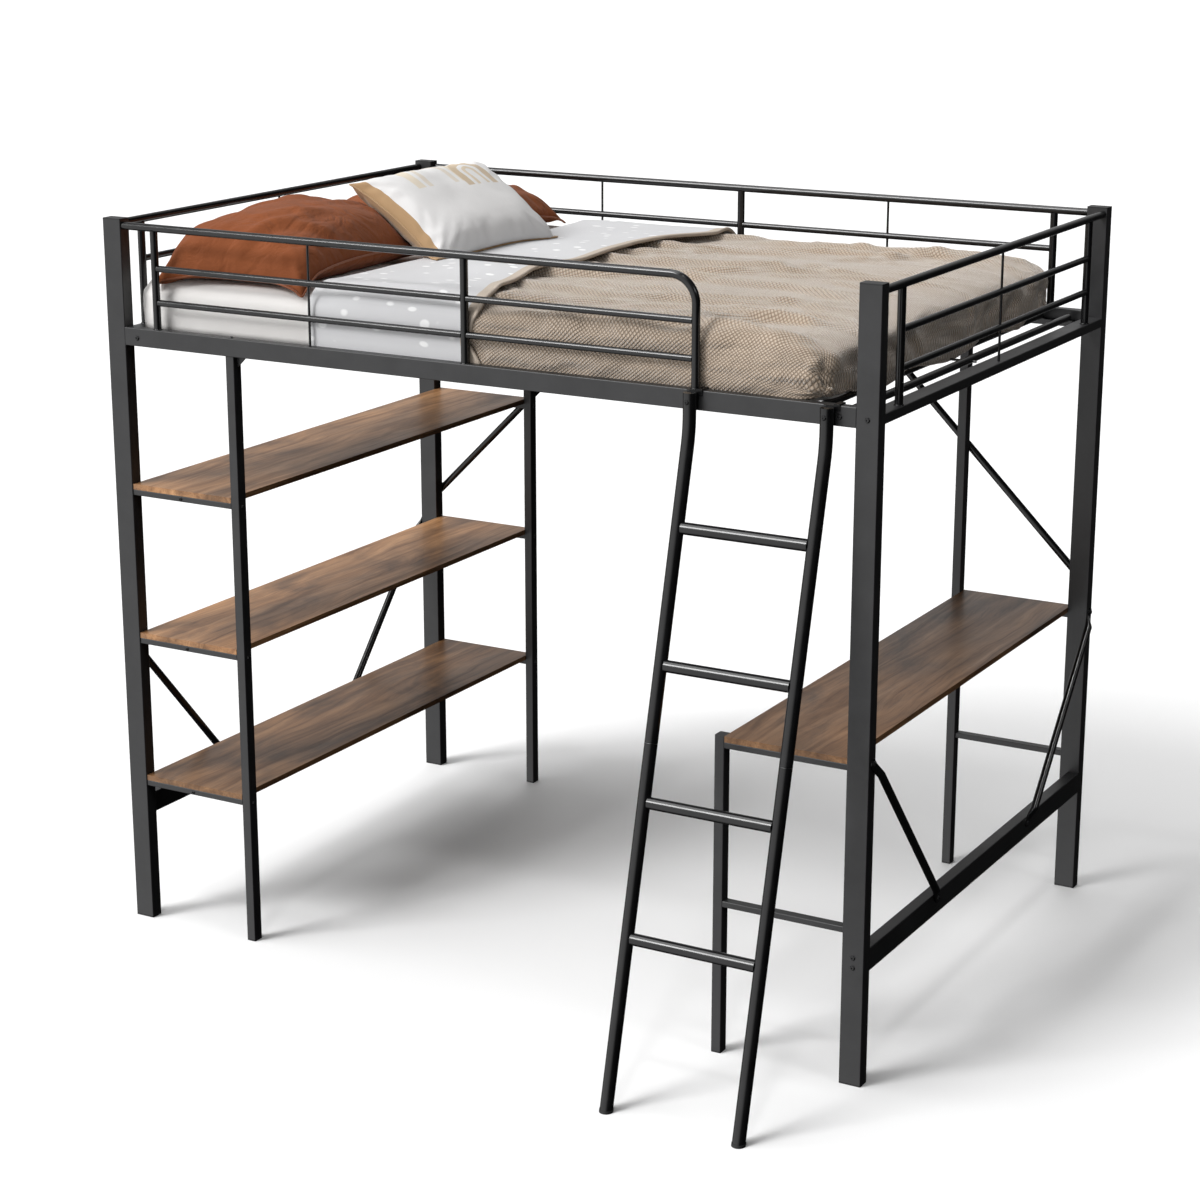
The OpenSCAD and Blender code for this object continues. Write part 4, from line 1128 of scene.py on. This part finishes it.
# ---------------------------------------------------------------- pillows
def pillow_mesh(name, w, l, T, step, mats, rest=True, hs_m=0.050, hs_c=0.014, blunt=3.0, skew=0.0, seed=1.0, folds=()):
    """two cloth panels sewn along one edge line and filled; a resting one is flat below, its corners drooping"""
    nu, nv = int(w / step) + 1, int(l / step) + 1
    verts, faces, uvs = [], [], []
    top = np.zeros((nu, nv), int)
    bot = np.zeros((nu, nv), int)

    def sp(t):
        return 0.45 * t + 0.55 * math.sin(math.pi / 2 * t)

    for i in range(nu):
        for j in range(nv):
            u, v = sp(i / (nu - 1) * 2 - 1), sp(j / (nv - 1) * 2 - 1)
            edge = i in (0, nu - 1) or j in (0, nv - 1)
            x = u * w / 2 * (1 - 0.06 * (1 - v * v) * abs(u) ** 3)
            y = v * l / 2 * (1 - 0.05 * (1 - u * u) * abs(v) ** 3)
            env = max(0.0, (1 - abs(u) ** blunt)) ** 0.5 * max(0.0, (1 - abs(v) ** blunt)) ** 0.5
            tt = T * (1 - skew * u)
            # gathers run in from the seams and corners
            du_, dv_ = (1 - abs(u)) * w / 2, (1 - abs(v)) * l / 2
            dd = min(du_, dv_)
            along = y if du_ < dv_ else x
            gat = 0.0032 * math.sin(along * 95 + 2.5 * math.sin(along * 31 + seed)) * math.exp(-(dd / 0.055) ** 2) * min(1.0, dd / 0.012)
            cr = math.exp(-((du_ + dv_) / 0.16) ** 2) * 0.004 * math.sin((du_ - dv_) * 120)
            bro = 0.010 * nz(x, y, 0, 6.5, seed) + 0.005 * nz(x, y, 0, 14.0, seed + 3)
            if folds:
                c1, c2 = np.array([x]), np.array([y])
                for f_ in folds:
                    bro += float(creases(c1, c2, *f_)[0])
            if rest:
                hs = hs_c + (hs_m - hs_c) * (1 - (abs(u) * abs(v)) ** 2.5)
                zt = hs + (tt - hs) * env + (gat + cr + bro) * env ** 0.5
                zb = hs * (1 - env) ** 1.3
            else:
                dr = -0.010 * (abs(u) * abs(v)) ** 2
                zt = dr + tt / 2 * env + (gat + cr + bro * 0.6) * env ** 0.5
                zb = dr - tt / 2 * env - (gat + cr) * env ** 0.5
                hs = dr
            top[i, j] = len(verts)
            verts.append((x, y, hs if edge else zt))
            uvs.append((x, y))
            if edge:
                bot[i, j] = top[i, j]
            else:
                bot[i, j] = len(verts)
                verts.append((x, y, zb))
                uvs.append((x, y))
    for i in range(nu - 1):
        for j in range(nv - 1):
            faces.append((top[i, j], top[i + 1, j], top[i + 1, j + 1], top[i, j + 1]))
            faces.append((bot[i, j], bot[i, j + 1], bot[i + 1, j + 1], bot[i + 1, j]))
    o = add_object(name, verts, faces, uvs, mats)
    seam = [top[i, 0] for i in range(nu)] + [top[nu - 1, j] for j in range(1, nv)] + [top[i, nv - 1] for i in range(nu - 2, -1, -1)] + [top[0, j] for j in range(nv - 2, 0, -1)]
    return o, seam


def settle(o, pressure, frames, cap, gravity, shrink=-0.03, bend=0.25):
    """let the filled cover find its own wrinkles, moving no point further than cap"""
    start = coords(o)
    run_cloth(o, frames, [], pressure=pressure, gravity=gravity, quality=6, mass=0.3, tension=14, bend=bend, air=1.0, shrink=shrink)
    a_ = coords(o)
    d_ = a_ - start
    d_ -= d_.mean(0)
    L_ = np.linalg.norm(d_, axis=1)
    d_ *= (np.minimum(L_, cap) / np.maximum(L_, 1e-9))[:, None]
    set_coords(o, start + d_)


def place(o, pos, rot):
    M = Matrix.Translation(pos) @ rot
    o.data.transform(M)
    o.data.update()


def tops(objs):
    out = []
    for q in objs:
        out.append(BVHTree.FromPolygons([tuple(v.co) for v in q.data.vertices], [tuple(p.vertices) for p in q.data.polygons]))
    return out


def height_at(trees, x, y, zfrom=3.0):
    best = None
    for t in trees:
        hit = t.ray_cast(Vector((x, y, zfrom)), Vector((0, 0, -1)))
        if hit[0] is not None and (best is None or hit[0].z > best):
            best = hit[0].z
    return best


def rest_on(o, trees, gap=0.0025, bulk=0.0):
    """lift whatever would sink into the things below, so the pad takes their shape where it rests"""
    a = coords(o)
    me_ = o.data
    nrm = np.zeros(len(me_.vertices) * 3)
    me_.vertices.foreach_get("normal", nrm)
    nrm = nrm.reshape(-1, 3)
    for i, p in enumerate(a):
        hgt = height_at(trees, p[0], p[1])
        if hgt is None:
            continue
        need = hgt + gap + (bulk if nrm[i, 2] > 0.0 else 0.0)
        if p[2] < need:
            a[i, 2] = need
    set_coords(o, a)


def keep_in(o, ymin, ymax, xmin):
    a = coords(o)
    a[:, 1] = np.where(a[:, 1] < ymin, ymin + (a[:, 1] - ymin) * 0.05, a[:, 1])
    a[:, 1] = np.where(a[:, 1] > ymax, ymax + (a[:, 1] - ymax) * 0.05, a[:, 1])
    a[:, 0] = np.where(a[:, 0] < xmin, xmin + (a[:, 0] - xmin) * 0.05, a[:, 0])
    set_coords(o, a)


rust = m_cloth("pillow_rust_cotton", (0.250, 0.072, 0.022), (0.150, 0.038, 0.011), 0.0012, sheen=0.06, rough=0.85, blotch=0.4, bump=0.35, scale_b=7, fuzz=0.3, wrinkle=0.24)
rust_b = m_cloth("pillow_rust_piping", (0.28, 0.085, 0.030), (0.17, 0.045, 0.015), 0.0009, sheen=0.3, bump=0.4)
tan = m_cloth("pillow_tan_back", (0.46, 0.30, 0.16), (0.33, 0.20, 0.10), 0.0013, sheen=0.3, bump=0.4)

bed_trees = tops([sh, comf])
yin0, yin1 = W(0, 24.5, 0).y, W(0, BED_W * 1000 - 24.5, 0).y
EST = []


def finish_pad(o, seam, body, nodes_, piping, r=0.0026):
    pts = [o.data.vertices[i].co.copy() for i in seam]
    sb = o.modifiers.new("sub", "SUBSURF")
    sb.levels = sb.render_levels = 1
    apply_all(o)
    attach(o, body)
    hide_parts(*nodes_)
    bead = tube_along(o.name + "_seam", pts, r, [piping], body, 6, closed=True)
    return bead


def rotm(rx, ry, rz):
    return Matrix.Rotation(math.radians(rz), 4, "Z") @ Matrix.Rotation(math.radians(ry), 4, "Y") @ Matrix.Rotation(math.radians(rx), 4, "X")


RF = [(7, (-0.20, 0.20, -0.28, 0.25), 62, 30, (0.18, 0.42), (0.009, 0.016), 0.0130, 3), (10, (-0.22, 0.24, -0.30, 0.30), 20, 40, (0.10, 0.24), (0.006, 0.011), 0.0075, 41)]
RR = [(7, (-0.20, 0.20, -0.28, 0.28), 70, 34, (0.18, 0.42), (0.009, 0.016), 0.0130, 13), (10, (-0.22, 0.24, -0.30, 0.30), 10, 40, (0.10, 0.24), (0.006, 0.011), 0.0075, 57)]
PF = [(5, (-0.10, 0.12, -0.20, 0.20), 75, 30, (0.12, 0.26), (0.008, 0.013), 0.0035, 8)]


def droop(o):
    """edges of a pad that reach past the mattress's rounded rim sink with it"""
    a_ = coords(o)
    for i, p in enumerate(a_):
        e1 = min(max((m_lo.y + 0.085 - p[1]) / 0.085, 0.0), 1.0)
        e2 = min(max((m_lo.x + 0.105 - p[0]) / 0.105, 0.0), 1.0)
        e3 = min(max((p[1] - (m_hi.y - 0.085)) / 0.085, 0.0), 1.0)
        a_[i, 2] -= 0.030 * e1 ** 1.5 + 0.026 * e2 ** 1.5 + 0.026 * e3 ** 1.5
    set_coords(o, a_)


pf, seam_f = pillow_mesh("rust_pillow_front", 0.452, 0.632, 0.154, 0.0125, [rust.mat], skew=0.02, seed=2.0, blunt=2.15, hs_m=0.046, folds=RF)
settle(pf, 3.0, 16, 0.010, 0.0)
place(pf, W(335, 345, mz1 * 1000 + 4), rotm(0, 0, 2))
droop(pf)
keep_in(pf, yin0 + 0.006, yin1, X0 + 0.05)
pr, seam_r = pillow_mesh("rust_pillow_rear", 0.452, 0.615, 0.126, 0.0125, [rust.mat], skew=0.06, seed=5.0, blunt=2.15, hs_m=0.046, folds=RR)
settle(pr, 3.0, 16, 0.010, 0.0)
place(pr, W(290, 1050, mz1 * 1000 + 4), rotm(0, 0, -3))
droop(pr)
keep_in(pr, yin0, yin1 - 0.006, X0 + 0.05)

# patterned pillow: off-white canvas with plain beige arches, tan back
pm = NT("pillow_pattern_canvas")
uvp = pm.tc.outputs["UV"]
sep = pm.n("ShaderNodeSeparateXYZ")
pm.link(uvp, sep.inputs[0])


def arch(cu, cv, r0, r1):
    """half ring about (cu, cv) in uv metres, open towards +u"""
    dx = pm.math("SUBTRACT", sep.outputs[0], cu)
    dy = pm.math("SUBTRACT", sep.outputs[1], cv)
    up = pm.math("MINIMUM", dx, 0.0)
    rr_ = pm.math("SQRT", pm.math("ADD", pm.math("MULTIPLY", up, up), pm.math("MULTIPLY", dy, dy)))
    a_ = pm.math("GREATER_THAN", rr_, r0)
    b_ = pm.math("LESS_THAN", rr_, r1)
    low = pm.math("LESS_THAN", dx, 0.055)
    return pm.math("MULTIPLY", pm.math("MULTIPLY", a_, b_), low)


hP, _, _ = weave_height(pm, uvp, 1 / 0.0013, 1 / 0.0013)
fibp = pm.noise(pm.tc.outputs["Object"], 700, 3, 0.7)
blop = pm.noise(pm.tc.outputs["Object"], 7, 4, 0.6)
colp = pm.mix(pm.maprange(blop, 0.3, 0.7, 0, 1.0), (0.80, 0.79, 0.785), (0.73, 0.72, 0.715))
colp = pm.mix(pm.math("MULTIPLY", arch(-0.10, -0.045, 0.075, 0.105), 0.9), colp, (0.73, 0.64, 0.50))
colp = pm.mix(pm.math("MULTIPLY", arch(-0.10, -0.045, 0.045, 0.062), 0.9), colp, (0.70, 0.63, 0.53))
colp = pm.mix(pm.math("MULTIPLY", arch(-0.08, 0.10, 0.040, 0.066), 0.9), colp, (0.56, 0.43, 0.28))
colp = pm.mix(pm.math("MULTIPLY", arch(-0.08, 0.10, 0.014, 0.026), 0.9), colp, (0.66, 0.54, 0.38))
colp = pm.mix(pm.maprange(fibp, 0.4, 0.8, 0, 0.10), colp, (0.5, 0.48, 0.45))
pm.set(Base_Color=colp, Roughness=0.85, Normal=pm.bump(pm.math("ADD", hP, fibp), 0.3, 0.0006))
pm.b.inputs["Sheen Weight"].default_value = 0.2
pm.b.inputs["Specular IOR Level"].default_value = 0.2

pp, seam_p = pillow_mesh("patterned_pillow", 0.345, 0.525, 0.112, 0.0115, [pm.mat, tan.mat], rest=False, blunt=3.2, seed=9.0, folds=PF)
for p in pp.data.polygons:
    cx_, cy_, _z = p.center
    uu_ = min(1.0, abs(2 * cx_ / 0.345))
    if p.normal.z < 0 or cy_ < -0.2625 * 0.915 * (1 - 0.05 * (1 - uu_ * uu_) * 0.766):
        p.material_index = 1
settle(pp, 3.0, 16, 0.008, 0.0)
place(pp, W(551, 748, mz1 * 1000 + 113), rotm(0, 34, -5))
rest_on(pp, tops([sh, comf]), 0.003)


def dent(o, above, gap):
    """what lies on a pad presses it down"""
    t_ = tops([above])[0]
    a_ = coords(o)
    floor_z = mz1 + 0.006
    for i, p in enumerate(a_):
        hit = t_.ray_cast(Vector((p[0], p[1], mz1 - 0.05)), Vector((0, 0, 1)))
        if hit[0] is not None and p[2] > hit[0].z - gap:
            a_[i, 2] = min(p[2], max(hit[0].z - gap, floor_z))
    set_coords(o, a_)


dent(pf, pp, 0.004)
dent(pr, pp, 0.004)
rest_on(pf, bed_trees)
rest_on(pr, bed_trees)

finish_pad(pf, seam_f, "rust_pillows", ["pillow_rust_front"], rust_b.mat)
finish_pad(pr, seam_r, "rust_pillows", ["pillow_rust_rear"], rust_b.mat)
finish_pad(pp, seam_p, "patterned_pillow", ["pillow_patterned"], tan.mat)

# ---------------------------------------------------------------- weld beads
def ring(name, centre, axis, r, body, slot, wire=0.0016):
    """small weld bead round a tube end"""
    ax = Vector(axis).normalized()
    u = ax.orthogonal().normalized()
    w = ax.cross(u)
    pts = [Vector(centre) + (u * math.cos(t) + w * math.sin(t)) * (r + 0.0003 * math.sin(9 * t)) for t in np.linspace(0, 2 * math.pi, 28, endpoint=False)]
    return tube_along(name, pts, wire, [MAT[slot]], body, 6, closed=True)


k = 0
rt = RAIL_TOP + 0.0008
for xx in (147, 1037, 1633):
    ring(f"weld_front_{k}", (W(xx, 12.5, 0).x, W(xx, 12.5, 0).y, rt), (0, 0, 1), 0.0098, "frame", "black_tube"); k += 1
for xx in (148, BED_L * 500, BED_L * 1000 - 148):
    ring(f"weld_rear_{k}", (W(xx, 0, 0).x, Y0 + BED_W - 0.0125, rt), (0, 0, 1), 0.0098, "frame", "black_tube"); k += 1
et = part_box("end_rail_left")[1].z + 0.0008
for xx in (0.0125, BED_L - 0.0125):
    for yy in (0.131, BED_W - 0.131):
        ring(f"weld_end_{k}", (X0 + xx, Y0 + yy, et), (0, 0, 1), 0.0098, "frame", "black_tube"); k += 1
